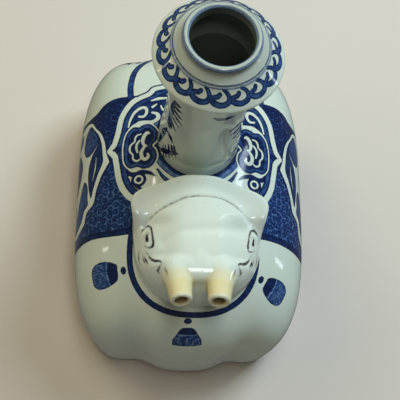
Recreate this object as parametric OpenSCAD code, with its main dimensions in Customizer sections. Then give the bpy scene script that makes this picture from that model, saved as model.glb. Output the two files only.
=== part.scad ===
// Elephant-shaped kendi: a hollow porcelain pouring vessel that is filled through the neck on its
// back and poured through its two bored tusks. The pieces are those that a potter presses or throws
// on their own and then joins with slip.
// The elephant faces -Y and the origin is on the table, under the middle of the body.

/* [Body] */
// Length of the body from chest to rump
body_len = 190; // [165:1:220]
// Width of the body across the flanks
body_w = 132; // [118:1:160]
// Height of the back above the table
body_h = 85; // [72:1:105]
// Height of the widest ring of the belly
belly_z = 34; // [24:1:42]
// How far the foot is drawn in from the belly
foot_inset = 3; // [0:0.5:8]
// Thickness of the pressed body wall
body_wall = 4.5; // [3:0.25:6]
// Squareness of the body seen from above, where 2 is an ellipse
plan_power = 3.6; // [2.6:0.1:4]
// Squareness of the back seen from the side, where 2 is an ellipse
dome_power = 2.4; // [2:0.1:3]

/* [Leg lobes] */
// Depth of the creases that part the legs from chest and rump
crease_depth = 4.5; // [0:0.5:7]
// Bearing of each crease from the midline
crease_angle = 17.5; // [15:0.5:28]
// Spread of a crease, as a bearing
crease_spread = 8; // [5:0.5:10]
// Height at which the creases fade out
crease_top = 64; // [35:1:66]

/* [Base] */
// Thickness of the slab that closes the bottom
base_t = 5; // [4:0.25:8]
// How far the slab's edge is trimmed back from the wall
base_trim = 1.5; // [0.5:0.25:4]

/* [Neck] */
// Distance of the neck's axis behind the middle of the body
neck_back = 19; // [10:1:30]
// Length of the neck from the back to the mouth
neck_len = 82; // [60:1:100]
// Outer radius of the neck where it is let into the back
neck_base_r = 22.2; // [18:0.1:24]
// Outer radius of the neck at its waist
neck_waist_r = 20.4; // [18:0.1:24]
// Thickness of the thrown neck wall
neck_wall = 3.6; // [2.5:0.1:5]

/* [Mouth] */
// Radius of the flange at its edge
flange_r = 31; // [28:0.5:36]
// Height of the flange's edge above the top of the neck
flange_edge_rise = 8.4; // [6:0.2:11]
// Height of the flange's cone above its edge
flange_cone_rise = 10; // [6:0.5:14]
// Radius at which the cone meets the collar
collar_r = 21.8; // [20:0.2:24]
// Rounding of the flange's edge
flange_edge_round = 1.5; // [1:0.1:2]
// Thickness of the flange's wall
flange_wall = 4.2; // [3:0.1:5]
// Radius of the mouth opening
mouth_r = 15.2; // [13:0.1:16]
// Height of the collar and lip above the flange
lip_h = 6.2; // [5:0.1:9]
// Thickness of the rolled lip
lip_t = 3.2; // [2.4:0.1:4]

/* [Head] */
// Width of the head without its ears
head_w = 67; // [60:1:74]
// Length of the head from nape to trunk
head_len = 61; // [56:1:68]
// Height of the crown above the back
head_rise = 19; // [15:0.5:26]
// Fall of the face towards the trunk, in degrees
face_fall = 1; // [0:0.5:5]
// Squareness of the head seen from above
head_power = 2.3; // [2:0.1:3]
// Squareness of the head seen from the side
crown_power = 3; // [2.5:0.1:3.6]
// Thickness of the pressed head wall
head_wall = 4; // [3:0.25:5]
// Radius of the hole between body and head
throat_r = 18; // [12:0.5:20]

/* [Ears] */
// Thickness of an ear where it lies on the head
ear_t = 3; // [2.5:0.25:5]
// Gap between the ears and the neck
ear_gap = 5; // [2:0.5:10]
// Reach of each ear's corner past the rest of the ear
ear_tip = 3.5; // [0:0.5:6]
// Bearing of each ear's corner
ear_tip_angle = 30; // [24:1:40]
// Drop of the ears' rim below the crown
ear_drop = 4; // [2:0.25:7]
// Width of the ears' rim
ear_rim_w = 1.6; // [1:0.1:2.5]

/* [Tusks] */
// Length of a tusk outside the head
tusk_len = 16; // [12:0.5:22]
// Radius of a tusk at its root
tusk_root_r = 7.4; // [6:0.1:8.5]
// Radius of a tusk at its tip
tusk_tip_r = 5.7; // [4.8:0.1:6.4]
// Radius of the pouring bore
tusk_bore_r = 3; // [2.2:0.1:3.6]
// Distance of a tusk's root from the midline
tusk_x = 11; // [10:0.25:13]
// Distance of a tusk's root behind the front of the head
tusk_set = 9.5; // [7:0.25:12]
// Drop of a tusk's root below the crown
tusk_drop = 9; // [8:0.25:11]
// Upward tilt of the tusks
tusk_lift = 19; // [10:1:25]
// Inward turn of the tusks
tusk_toe = 6; // [0:1:8]

/* [Trunk and tail] */
// Gap between the trunk and each tusk
trunk_clear = 0.5; // [0.3:0.1:1.5]
// Height of the trunk above the face
trunk_h = 5; // [3:0.25:7]
// Width of the tail
tail_w = 8; // [5:0.5:12]
// Height of the tail above the rump
tail_h = 3.5; // [2:0.25:5]

/* [Joints] */
// Thickness of the slip between pieces
slip = 0.3; // [0.2:0.05:0.5]

/* [Hidden] */
glaze = "#D3DBD2";
cobalt_glaze = "#7F93B8";
ivory = "#E4DCB6";
biscuit = "#CDBFA6";
$fn = 96;

half_w = body_w / 2;
half_len = body_len / 2;
bearing_steps = 36;
bearing_pull = 0.35;
skirt_steps = 5;
dome_steps = 14;
creases = [crease_angle - 90, 90 - crease_angle];
crease_fade = 3;

neck_top = body_h + neck_len;
neck_bore_r = neck_waist_r - neck_wall;
neck_foot = 0.45;
neck_steps = 14;
flange_edge_z = neck_top + flange_edge_rise;
flange_top = flange_edge_z + flange_cone_rise;
flange_crown = 0.9;
flange_dish = 1.6;
flange_hollow_r = flange_r - 2 * flange_wall;
flange_steps = 8;
mouth_top = flange_top + lip_h;
round_step = 30;

ear_back = neck_back - neck_base_r - ear_gap;
head_half_w = head_w / 2;
head_half_len = head_len / 2;
head_y = ear_back - ear_t - head_half_len;
head_top = body_h + head_rise;
crown_steps = 12;
ear_front_angle = -2;
ear_taper = 30;
ear_edge_t = 0.8;
ear_steps = 16;
ear_rows = 4;
ear_tip_spread = 13;
brow_climb = 56;
cheek_climb = 38;
brow_turn = 50;

tusk_in = 4;
tusk_socket_out = 30;
tusk_root_y = head_y - head_half_len + tusk_set;
tusk_root_z = head_top - tusk_drop;
tusk_tip_round = 1.1;
trunk_half_w = tusk_x - tusk_root_r - trunk_clear;
trunk_from = 66;
trunk_to = 10;
trunk_steps = 12;
trunk_w_ends = [0.7, 0.6];
trunk_h_ends = [0.2, 0.3];
tail_from = 52;
tail_to = 16;
tail_steps = 14;
tail_w_ends = [0.5, 0.5];
tail_h_ends = [0.3, 0.4];
swell_in = 0.35;
swell_out = 0.6;
roll_sides = 8;
hole_over = 40;

function mix(a, b, s) = a + (b - a) * s;

// Bearings from chest to rump, drawn closer together where the creases lie
bearings = [for (i = [0 : bearing_steps])
    let (u = 2 * i / bearing_steps - 1)
    90 * (u + bearing_pull * sin(180 * u) / PI)];

// Eased step from 0 to 1
function ease(s) = (1 - cos(180 * min(1, max(0, s)))) / 2;

// Radius at bearing t of a superellipse with half-axes a and b
function oval_r(t, a, b, power) =
    pow(pow(abs(cos(t)) / a, power) + pow(abs(sin(t)) / b, power), -1 / power);

// Climb q from 0 to 90 degrees as a share of the plan and a share of the height
function climb(q, power) = [pow(cos(q), 2 / power), pow(sin(q), 2 / power)];

// How far the crease at bearing t and height z cuts in
function crease(t, z) = crease_depth * (1 - pow(min(1, z / crease_top), crease_fade))
    * max([for (c = creases) exp(-pow((t - c) / crease_spread, 2))]);

// How far the foot is drawn in at height z
function tuck(z) = z < belly_z ? foot_inset * pow(1 - z / belly_z, 2) : 0;

// Point of the body wall, inset from its outer face, at bearing t and a share of the plan at height z
function body_pt(t, share, z, inset) =
    let (r = share * (oval_r(t, half_w - inset - tuck(z), half_len - inset - tuck(z), plan_power)
        - crease(t, z)))
    [r * cos(t), r * sin(t), z];

// Body heights and plan shares from the foot up to the top of the back
function body_levels(inset) = concat(
    [for (i = [0 : skirt_steps - 1]) [1, mix(base_t, belly_z, i / skirt_steps)]],
    [for (i = [0 : dome_steps])
        let (c = climb(90 * i / dome_steps, dome_power))
        [c[0], belly_z + (body_h - inset - belly_z) * c[1]]]);

function body_net(inset) =
    [for (level = body_levels(inset)) [for (t = bearings) body_pt(t, level[0], level[1], inset)]];

// Height of the body's back over the point x, y
function back_z(x, y) =
    let (share = pow(pow(abs(x) / half_w, plan_power) + pow(abs(y) / half_len, plan_power), 1 / plan_power))
    belly_z + (body_h - belly_z) * pow(max(0, 1 - pow(share, dome_power)), 1 / dome_power);

// Height of the sloping face at y
function face_z(y) = head_top + (y - head_y - head_half_len) * tan(face_fall);

// Point of the head wall, inset from its outer face, at bearing t after a climb of q degrees
function head_pt(t, q, inset) =
    let (c = climb(q, crown_power))
    let (r = oval_r(t, head_half_w - inset, head_half_len - inset, head_power))
    let (foot = back_z(r * cos(t), head_y + r * sin(t)) + slip)
    let (y = head_y + c[0] * r * sin(t))
    [c[0] * r * cos(t), y, mix(foot, face_z(y) - inset, c[1])];

function head_net(inset) =
    [for (i = [0 : crown_steps]) [for (t = bearings) head_pt(t, 90 * i / crown_steps, inset)]];

// Faces of a closed wall between an outer and an inner net of points. Rows climb and columns run
// anticlockwise seen from above. A domed wall has one more row that closes to a point.
function wall_faces(rows, cols, domed) =
    let (inner = rows * cols + (domed ? 1 : 0))
    let (apex = rows * cols)
    let (inner_apex = inner + rows * cols)
    concat(
        [for (i = [0 : rows - 2], j = [0 : cols - 2], f = quad(i * cols + j, (i + 1) * cols + j,
            (i + 1) * cols + j + 1, i * cols + j + 1)) f],
        [for (i = [0 : rows - 2], j = [0 : cols - 2], f = quad(inner + i * cols + j, inner + i * cols + j + 1,
            inner + (i + 1) * cols + j + 1, inner + (i + 1) * cols + j)) f],
        [for (j = [0 : cols - 2], f = quad(j, j + 1, inner + j + 1, inner + j)) f],
        [for (i = [0 : rows - 2], f = quad(inner + i * cols, inner + (i + 1) * cols, (i + 1) * cols, i * cols)) f],
        [for (i = [0 : rows - 2], f = quad((i + 1) * cols - 1, (i + 2) * cols - 1,
            inner + (i + 2) * cols - 1, inner + (i + 1) * cols - 1)) f],
        domed
            ? concat(
                [for (j = [0 : cols - 2]) [apex - cols + j, apex, apex - cols + j + 1]],
                [for (j = [0 : cols - 2]) [inner_apex - cols + j, inner_apex - cols + j + 1, inner_apex]],
                quad(inner_apex - cols, inner_apex, apex, apex - cols),
                quad(apex - 1, apex, inner_apex, inner_apex - 1))
            : [for (j = [0 : cols - 2], f = quad(apex - cols + j, inner_apex - cols + j,
                inner_apex - cols + j + 1, apex - cols + j + 1)) f]);

function quad(a, b, c, d) = [[a, b, c], [a, c, d]];

function flat(net) = [for (row = net, p = row) p];

// All rows but the last, whose points fall together, and then that one point
function domed_points(net) =
    let (last = len(net) - 1)
    concat(flat([for (i = [0 : last - 1]) net[i]]), [net[last][0]]);

module domed_half(outer, inner) {
    polyhedron(
        points = concat(domed_points(outer), domed_points(inner)),
        faces = wall_faces(len(outer) - 1, len(outer[0]), true));
}

module thick_sheet(outer, inner) {
    polyhedron(
        points = concat(flat(outer), flat(inner)),
        faces = wall_faces(len(outer), len(outer[0]), false));
}

// Outline of the body at height z, all the way round
function body_outline(z, inset) =
    let (right = [for (t = bearings) body_pt(t, 1, z, inset)])
    concat(
        [for (p = right) [p[0], p[1]]],
        [for (i = [len(right) - 2 : -1 : 1]) [-right[i][0], right[i][1]]]);

module base_slab() {
    color(biscuit)
    linear_extrude(base_t)
    polygon(body_outline(0, base_trim));
}

// One pressed half of the body, with the holes for the neck and the throat
module body_half() {
    difference() {
        domed_half(body_net(0), body_net(body_wall));
        translate([0, neck_back, body_h - hole_over])
        cylinder(r = neck_base_r + slip, h = 2 * hole_over);
        translate([0, head_y, body_h - hole_over])
        cylinder(r = throat_r, h = 2 * hole_over);
    }
}

module body_right() {
    color(cobalt_glaze)
    body_half();
}

module body_left() {
    color(cobalt_glaze)
    mirror([1, 0, 0])
    body_half();
}

// Outer radius of the neck at a share s of its length
function neck_r(s) = mix(neck_base_r, neck_waist_r, ease(s / (1 - neck_foot)));

module neck_tube() {
    foot_z = body_h - body_wall;
    outer = [for (i = [0 : neck_steps]) [neck_r(i / neck_steps), mix(body_h, neck_top, i / neck_steps)]];
    inner = [for (i = [neck_steps : -1 : 0])
        [neck_r(i / neck_steps) - neck_wall, mix(body_h, neck_top, i / neck_steps)]];
    color(glaze)
    translate([0, neck_back, 0])
    rotate_extrude()
    polygon(concat(
        [[neck_base_r, foot_z]],
        outer,
        inner,
        [[neck_base_r - neck_wall, foot_z]]));
}

// Flared flange of the mouth: a dished underside, a rounded edge and a rising cone
module mouth_flange() {
    under = [for (i = [0 : flange_steps])
        let (s = i / flange_steps)
        [mix(neck_waist_r, flange_r - flange_edge_round, s),
            mix(neck_top, flange_edge_z - flange_edge_round, pow(s, flange_dish))]];
    edge = [for (a = [-2 * round_step : round_step : round_step])
        [flange_r + flange_edge_round * (cos(a) - 1), flange_edge_z + flange_edge_round * sin(a)]];
    cone = [for (i = [0 : flange_steps])
        let (s = i / flange_steps)
        [mix(flange_r - flange_edge_round / 2, collar_r, s),
            mix(flange_edge_z + flange_edge_round, flange_top, s) + flange_crown * sin(180 * s)]];
    hollow = [
        [mouth_r, flange_top],
        [flange_hollow_r, flange_edge_z + flange_wall / 2],
        [flange_hollow_r, flange_edge_z - flange_wall / 4],
        [neck_bore_r, neck_top]];
    color(cobalt_glaze)
    translate([0, neck_back, 0])
    rotate_extrude()
    polygon(concat(under, edge, cone, hollow));
}

// Hollowed collar with a rolled lip round the mouth
module mouth_lip() {
    lip_z = mouth_top - lip_t / 2;
    collar = [for (i = [0 : flange_steps])
        let (s = i / flange_steps)
        [mix(collar_r, mouth_r + lip_t, sin(90 * s)), mix(flange_top, lip_z, s)]];
    roll = [for (a = [round_step : round_step : 180 - round_step])
        [mouth_r + lip_t / 2 + lip_t / 2 * cos(a), lip_z + lip_t / 2 * sin(a)]];
    color(glaze)
    translate([0, neck_back, 0])
    rotate_extrude()
    polygon(concat(collar, roll, [[mouth_r, lip_z], [mouth_r, flange_top]]));
}

// Places what is drawn along +Z at the root of the right tusk, pointing along its axis
module on_tusk_axis() {
    translate([tusk_x, tusk_root_y, tusk_root_z])
    rotate([90 - tusk_lift, 0, -tusk_toe])
    children();
}

// One pressed half of the head, with the socket for its tusk
module head_half() {
    difference() {
        domed_half(head_net(0), head_net(head_wall));
        on_tusk_axis()
        translate([0, 0, -tusk_in])
        cylinder(r = tusk_root_r + slip, h = tusk_in + tusk_socket_out);
    }
}

module head_right() {
    color(glaze)
    head_half();
}

module head_left() {
    color(glaze)
    mirror([1, 0, 0])
    head_half();
}

// Climb of the brow crease, where an ear's inner edge lies on the head
function ear_climb(t) = mix(cheek_climb, brow_climb, ease((t - ear_front_angle) / brow_turn));

// Radius of the ear's outer face about the head's middle
function ear_r(t) = oval_r(t, head_half_w + ear_t, head_half_len + ear_t, head_power);

// Height of the ear's rim: level behind the head, then falling down the cheek past the corner
function ear_rim_z(t) =
    let (s = ease((t - ear_front_angle) / (ear_tip_angle - ear_front_angle)))
    let (low = head_pt(t, cheek_climb, -slip)[2])
    mix(low, head_top - ear_drop, s);

// Point of the ear's outer face in row i: full behind, thinning out onto the cheek in front
function ear_outer_pt(t, i) =
    let (s = min(1, i / (ear_rows - 1)))
    let (foot_r = ear_r(t))
    let (foot = back_z(foot_r * cos(t), head_y + foot_r * sin(t)) + slip)
    let (corner = ear_tip * exp(-pow((t - ear_tip_angle) / ear_tip_spread, 2)))
    let (r = foot_r + corner * pow(s, 2) - (i < ear_rows ? 0 : ear_rim_w))
    let (full = [r * cos(t), head_y + r * sin(t), mix(foot, ear_rim_z(t), s)])
    let (thin = head_pt(t, ear_climb(t) * i / ear_rows, -slip - ear_edge_t))
    mix(thin, full, ease((t - ear_front_angle) / ear_taper));

// One ear, laid back over the nape and down the cheek
module ear() {
    turns = [for (j = [0 : ear_steps]) mix(ear_front_angle, 90, j / ear_steps)];
    outer = [for (i = [0 : ear_rows]) [for (t = turns) ear_outer_pt(t, i)]];
    inner = [for (i = [0 : ear_rows]) [for (t = turns) head_pt(t, ear_climb(t) * i / ear_rows, -slip)]];
    thick_sheet(outer, inner);
}

module ear_right() {
    color(glaze)
    ear();
}

module ear_left() {
    color(glaze)
    mirror([1, 0, 0])
    ear();
}

// One tusk: a short bored cone with a rounded tip, let into its socket
module tusk() {
    on_tusk_axis()
    rotate_extrude()
    polygon([
        [tusk_bore_r, -tusk_in],
        [tusk_root_r, -tusk_in],
        [tusk_root_r, 0],
        [tusk_tip_r, tusk_len - tusk_tip_round],
        [tusk_tip_r - tusk_tip_round, tusk_len],
        [tusk_bore_r, tusk_len]]);
}

module tusk_right() {
    color(ivory)
    tusk();
}

module tusk_left() {
    color(ivory)
    mirror([1, 0, 0])
    tusk();
}

// Direction square to the step from a to b, in the midline plane, on its left seen from +X
function square_to(a, b) =
    let (d = b - a)
    [0, -d[2], d[1]] / norm(d);

// A half-round roll of clay along a path in the midline plane, flat against what carries it.
// Each entry of sizes is a half-width and a height, and side is 1 or -1 for the way it stands out.
module midline_roll(path, sizes, side) {
    last = len(path) - 1;
    cols = roll_sides + 1;
    out = [for (i = [0 : last]) side * square_to(path[max(0, i - 1)], path[min(last, i + 1)])];
    points = [for (i = [0 : last], k = [0 : roll_sides])
        let (a = 180 * k / roll_sides)
        path[i] + [side * sizes[i][0] * cos(a), 0, 0] + out[i] * (slip + sizes[i][1] * sin(a))];
    polyhedron(
        points = points,
        faces = concat(
            [for (i = [0 : last - 1], k = [0 : cols - 1], f = quad(i * cols + k, i * cols + (k + 1) % cols,
                (i + 1) * cols + (k + 1) % cols, (i + 1) * cols + k)) f],
            [[for (k = [cols - 1 : -1 : 0]) k]],
            [[for (k = [0 : cols - 1]) last * cols + k]]));
}

// Swell of a roll at a share s of its length: thin at its two ends, full between
function swell(s, ends) =
    mix(ends[0], 1, ease(s / swell_in)) * mix(1, ends[1], ease((s - swell_out) / (1 - swell_out)));

// Trunk, tucked down between the tusks
module trunk() {
    shares = [for (i = [0 : trunk_steps]) i / trunk_steps];
    color(glaze)
    midline_roll(
        [for (s = shares) head_pt(-90, mix(trunk_from, trunk_to, s), 0)],
        [for (s = shares) [trunk_half_w * swell(s, trunk_w_ends), trunk_h * swell(s, trunk_h_ends)]],
        -1);
}

// Tail, laid down the rump
module tail() {
    shares = [for (i = [0 : tail_steps]) i / tail_steps];
    climbs = [for (s = shares) climb(mix(tail_from, tail_to, s), dome_power)];
    color(glaze)
    midline_roll(
        [for (c = climbs) body_pt(90, c[0], belly_z + (body_h - belly_z) * c[1], 0)],
        [for (s = shares) [tail_w / 2 * swell(s, tail_w_ends), tail_h * swell(s, tail_h_ends)]],
        1);
}

base_slab();
body_left();
body_right();
neck_tube();
mouth_flange();
mouth_lip();
head_left();
head_right();
ear_left();
ear_right();
tusk_left();
tusk_right();
trunk();
tail();
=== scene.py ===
"""Looks of an elephant-shaped kendi: pressed and thrown porcelain, painted in cobalt under a clear glaze."""

import logging
import math
from dataclasses import dataclass, replace
from enum import Enum
from typing import Any, Sequence

import bpy
import numpy as np
from mathutils import Matrix, Vector


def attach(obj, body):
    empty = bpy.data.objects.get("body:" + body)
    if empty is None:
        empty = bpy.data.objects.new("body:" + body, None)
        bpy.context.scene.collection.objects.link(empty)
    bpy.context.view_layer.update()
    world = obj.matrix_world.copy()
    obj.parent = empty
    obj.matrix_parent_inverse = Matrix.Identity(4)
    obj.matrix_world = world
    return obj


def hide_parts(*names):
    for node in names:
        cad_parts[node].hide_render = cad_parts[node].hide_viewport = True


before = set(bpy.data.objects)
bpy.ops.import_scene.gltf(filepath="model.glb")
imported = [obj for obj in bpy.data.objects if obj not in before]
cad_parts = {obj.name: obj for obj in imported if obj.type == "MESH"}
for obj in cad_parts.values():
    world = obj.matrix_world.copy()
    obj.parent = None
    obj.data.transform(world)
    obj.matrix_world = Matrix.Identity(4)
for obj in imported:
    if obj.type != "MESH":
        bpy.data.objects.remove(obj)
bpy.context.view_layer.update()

LOG = logging.getLogger("kendi")
MM = 0.001

# Lengths of the brushwork in mm: far from pigment, off the chart, searched round a stroke, bled by an edge
FAR = 50.0
OFF_CHART = 999.0
MARGIN = 4.0
BLEED = 0.6

SMOOTH_LIMIT = math.radians(38)
PAINT_LAYERS = ("ink", "tone", "diaper", "shade_and_stain")
Path = Sequence[tuple[float, ...]]
Solid = tuple[np.ndarray, list[tuple[int, ...]]]


class Side(Enum):
    """Which side of the midline a piece lies on, as a viewer in front sees it."""

    LEFT = -1
    RIGHT = 1


def linear(code: str) -> tuple[float, float, float, float]:
    """Turns an sRGB hex colour into linear values.

    Args:
        code: Colour such as "#C8D2CA".

    Returns:
        Linear red, green, blue and an alpha of one.
    """
    parts = [int(code[i : i + 2], 16) / 255 for i in (1, 3, 5)]
    return tuple(p / 12.92 if p <= 0.04045 else ((p + 0.055) / 1.055) ** 2.4 for p in parts) + (1.0,)


def add(tree: bpy.types.NodeTree, kind: str, inputs: dict[Any, Any] | None = None,
        **settings: Any) -> bpy.types.Node:
    """Adds a node with its settings, values and links.

    Args:
        tree: Tree that gets the node.
        kind: Blender's name for the node type.
        inputs: Value, linked output or node for each input, by name or place; a node gives its first output.
        settings: Properties of the node itself.

    Returns:
        The new node.
    """
    node = tree.nodes.new(kind)
    for key, value in settings.items():
        setattr(node, key, value)
    for key, value in (inputs or {}).items():
        source = value.outputs[0] if isinstance(value, bpy.types.Node) else value
        if isinstance(source, bpy.types.NodeSocket):
            tree.links.new(source, node.inputs[key])
        else:
            node.inputs[key].default_value = source
    return node


def blank_material(name: str) -> bpy.types.Material:
    """Makes a material with an empty tree.

    Args:
        name: Name of the material.

    Returns:
        The new material.
    """
    material = bpy.data.materials.new(name)
    material.use_nodes = True
    material.node_tree.nodes.clear()
    return material


def ease(share: np.ndarray | float) -> np.ndarray | float:
    """Eased step from 0 to 1 for a share from 0 to 1."""
    return (1 - np.cos(np.pi * np.clip(share, 0, 1))) / 2


def step(value: np.ndarray, start: float, end: float) -> np.ndarray:
    """Eased step from 0 to 1 while a value goes from a start to an end."""
    return ease((value - start) / (end - start))


def bell(value: np.ndarray, spread: float) -> np.ndarray:
    """Bell curve that is 1 at zero and falls away over a spread."""
    return np.exp(-((value / spread) ** 2))


def arch(share: np.ndarray, power: float) -> np.ndarray:
    """Height share of a superellipse at a share of its reach."""
    return np.maximum(0, 1 - share**power) ** (1 / power)


def mix(low: Any, high: Any, share: Any) -> Any:
    """Straight mix of two values by a share."""
    return low + (high - low) * share


def oval_r(turn: np.ndarray, half_x: Any, half_y: Any, power: float) -> np.ndarray:
    """Radius at a bearing of a superellipse.

    Args:
        turn: Bearings in radians, from +X towards +Y.
        half_x: Half-width.
        half_y: Half-length.
        power: Squareness, where 2 is an ellipse.

    Returns:
        Radius at each bearing.
    """
    across, along = np.abs(np.cos(turn)) / half_x, np.abs(np.sin(turn)) / half_y
    return (across**power + along**power) ** (-1 / power)


def climb(quarter: np.ndarray, power: float) -> tuple[np.ndarray, np.ndarray]:
    """Share of the plan and share of the height after a climb in radians."""
    return np.clip(np.cos(quarter), 0, 1) ** (2 / power), np.clip(np.sin(quarter), 0, 1) ** (2 / power)


def smooth_path(points: Path, steps: int, closed: bool = False) -> np.ndarray:
    """Runs a smooth curve through a few chosen points.

    Args:
        points: Points that the curve passes through.
        steps: Points made on each stretch.
        closed: Whether the curve returns to its start.

    Returns:
        Points along the curve; a closed one doesn't repeat its start.
    """
    p = np.asarray(points, float)
    if closed:
        p = np.vstack([p[-1], p, p[0], p[1]])
    else:
        p = np.vstack([2 * p[0] - p[1], p, 2 * p[-1] - p[-2]])
    s = np.linspace(0, 1, steps, endpoint=False)[:, None]
    out = [
        0.5 * (2 * b + (c - a) * s + (2 * a - 5 * b + 4 * c - d) * s**2 + (3 * b - a - 3 * c + d) * s**3)
        for a, b, c, d in zip(p[:-3], p[1:-2], p[2:-1], p[3:])
    ]
    if not closed:
        out.append(p[-2:-1])
    return np.vstack(out)


def stroke_distance(spots: np.ndarray, path: np.ndarray, width: float | Sequence[float]) -> np.ndarray:
    """Signed distance from the edge of a brush stroke, negative inside it.

    Args:
        spots: Places to measure from, in mm, flat or in space.
        path: Points along the stroke.
        width: Width of the stroke, or a few widths spread along it.

    Returns:
        Distance in mm at each spot.
    """
    path = np.asarray(path, float)
    widths = np.interp(np.linspace(0, 1, len(path)), np.linspace(0, 1, np.size(width)), np.atleast_1d(width))
    reach = widths.max() / 2 + MARGIN
    near = np.all((spots > path.min(0) - reach) & (spots < path.max(0) + reach), axis=1)
    p = spots[near]
    best = np.full(len(p), FAR)
    for a, b, wa, wb in zip(path[:-1], path[1:], widths[:-1], widths[1:]):
        along = b - a
        h = np.clip((p - a) @ along / max(along @ along, 1e-9), 0, 1)
        best = np.minimum(best, np.linalg.norm(p - a - h[:, None] * along, axis=1) - mix(wa, wb, h) / 2)
    out = np.full(len(spots), FAR)
    out[near] = best
    return out


def area_distance(spots: np.ndarray, outline: np.ndarray) -> np.ndarray:
    """Signed distance from the edge of a closed flat area, negative inside it.

    Args:
        spots: Flat places to measure from, in mm.
        outline: Corners of the area in order.

    Returns:
        Distance in mm at each spot.
    """
    outline = np.asarray(outline, float)
    near = np.all((spots > outline.min(0) - 2 * MARGIN) & (spots < outline.max(0) + 2 * MARGIN), axis=1)
    p = spots[near]
    best = np.full(len(p), FAR)
    inside = np.zeros(len(p), bool)
    for a, b in zip(outline, np.roll(outline, -1, axis=0)):
        along = b - a
        h = np.clip((p - a) @ along / max(along @ along, 1e-9), 0, 1)
        best = np.minimum(best, np.linalg.norm(p - a - h[:, None] * along, axis=1))
        if a[1] != b[1]:
            crosses = (a[1] > p[:, 1]) != (b[1] > p[:, 1])
            inside ^= crosses & (p[:, 0] < a[0] + (p[:, 1] - a[1]) * along[0] / along[1])
    out = np.full(len(spots), FAR)
    out[near] = np.where(inside, -best, best)
    return out


@dataclass(frozen=True)
class Stroke:
    """One brush stroke: points that it passes, widths along it, strength, and steps between points."""

    path: Path
    width: float | Sequence[float]
    tone: float = 1.0
    steps: int = 6

    def distance(self, spots: np.ndarray) -> np.ndarray:
        """Signed distance of places from the edge of the smooth stroke."""
        return stroke_distance(spots, smooth_path(self.path, self.steps), self.width)

    def moved(self, stretch: tuple[float, float], shift: tuple[float, float]) -> "Stroke":
        """Same stroke, stretched and then shifted."""
        return replace(self, path=np.array(self.path) * stretch + shift)


class Canvas:
    """Brushwork on one piece, kept as distances in mm from the edge of the pigment."""

    def __init__(self, spots: np.ndarray) -> None:
        """Starts bare.

        Args:
            spots: Place of each vertex in the flat chart or the space that the strokes use.
        """
        self.spots = spots
        self.ink = np.full(len(spots), FAR)
        self.tone = np.zeros(len(spots))
        self.diaper = np.full(len(spots), FAR)
        # Share of the finish's darker mix: painted shade in hollows, and the tint at the tusk roots
        self.shade_and_stain = np.zeros(len(spots))

    def fill(self, distance: np.ndarray, tone: float) -> None:
        """Lays pigment on an area.

        Args:
            distance: Signed distance from the area's edge.
            tone: Strength of the pigment, from 0 or less for thin wash to 1 for full dark.
        """
        self.tone = np.where(distance < np.minimum(self.ink, BLEED), tone, self.tone)
        self.tone = np.where(distance < 0, tone, self.tone)
        self.ink = np.minimum(self.ink, distance)

    def spare(self, distance: np.ndarray) -> None:
        """Leaves an area white."""
        self.ink = np.maximum(self.ink, -distance)
        self.diaper = np.maximum(self.diaper, -distance)

    def band(self, distance: np.ndarray, middle: float, half: float, tone: float) -> None:
        """Lays a band of pigment along an edge, at a distance from it and of a half-width."""
        self.fill(np.abs(distance - middle) - half, tone)

    def draw(self, *strokes: Stroke) -> None:
        """Lays smooth brush strokes of pigment."""
        for stroke in strokes:
            self.fill(stroke.distance(self.spots), stroke.tone)

    def scratch(self, *strokes: Stroke) -> None:
        """Leaves smooth white lines in the pigment."""
        for stroke in strokes:
            self.spare(stroke.distance(self.spots))

    def store(self, piece: bpy.types.Object, chart: np.ndarray | None = None) -> None:
        """Writes the brushwork to a piece's vertices.

        Args:
            piece: Piece whose vertices match the spots.
            chart: Flat place of each vertex in mm, for the diaper; the spots if left out.
        """
        for name in PAINT_LAYERS:
            layer = piece.data.attributes.new(name, "FLOAT", "POINT")
            layer.data.foreach_set("value", getattr(self, name).astype(np.float32))
        flat = np.zeros((len(self.spots), 3), np.float32)
        flat[:, :2] = (self.spots if chart is None else chart)[:, :2]
        layer = piece.data.attributes.new("chart", "FLOAT_VECTOR", "POINT")
        layer.data.foreach_set("vector", flat.ravel())


def new_piece(name: str, points: np.ndarray, faces: Sequence[Sequence[int]]) -> bpy.types.Object:
    """Makes a piece from points in mm, with its faces turned outwards.

    Args:
        name: Name of the piece.
        points: Points in mm in the shared frame.
        faces: Corners of each face.

    Returns:
        The new object, at the origin.
    """
    mesh = bpy.data.meshes.new(name)
    mesh.from_pydata((np.asarray(points) * MM).tolist(), [], [list(map(int, f)) for f in faces])
    return link_mesh(name, mesh)


def link_mesh(name: str, mesh: bpy.types.Mesh) -> bpy.types.Object:
    """Turns a closed mesh outwards, smooths its shading and puts it in the scene.

    Args:
        name: Name of the piece.
        mesh: Closed mesh in metres.

    Returns:
        The new object, at the origin.
    """
    mesh.validate()
    mesh.calc_loop_triangles()
    corner = np.zeros(len(mesh.loop_triangles) * 3, np.int32)
    mesh.loop_triangles.foreach_get("vertices", corner)
    a, b, c = np.moveaxis(vertex_places(mesh)[corner.reshape(-1, 3)], 1, 0)
    if np.einsum("ij,ij->i", a, np.cross(b, c)).sum() < 0:
        mesh.flip_normals()
    mesh.shade_smooth()
    mesh.set_sharp_from_angle(angle=SMOOTH_LIMIT)
    piece = bpy.data.objects.new(name, mesh)
    bpy.context.scene.collection.objects.link(piece)
    return piece


def vertex_places(mesh: bpy.types.Mesh) -> np.ndarray:
    """Places of a mesh's vertices.

    Args:
        mesh: Mesh to read.

    Returns:
        Places in metres, a row for each vertex.
    """
    flat = np.zeros(len(mesh.vertices) * 3)
    mesh.vertices.foreach_get("co", flat)
    return flat.reshape(-1, 3)


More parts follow.
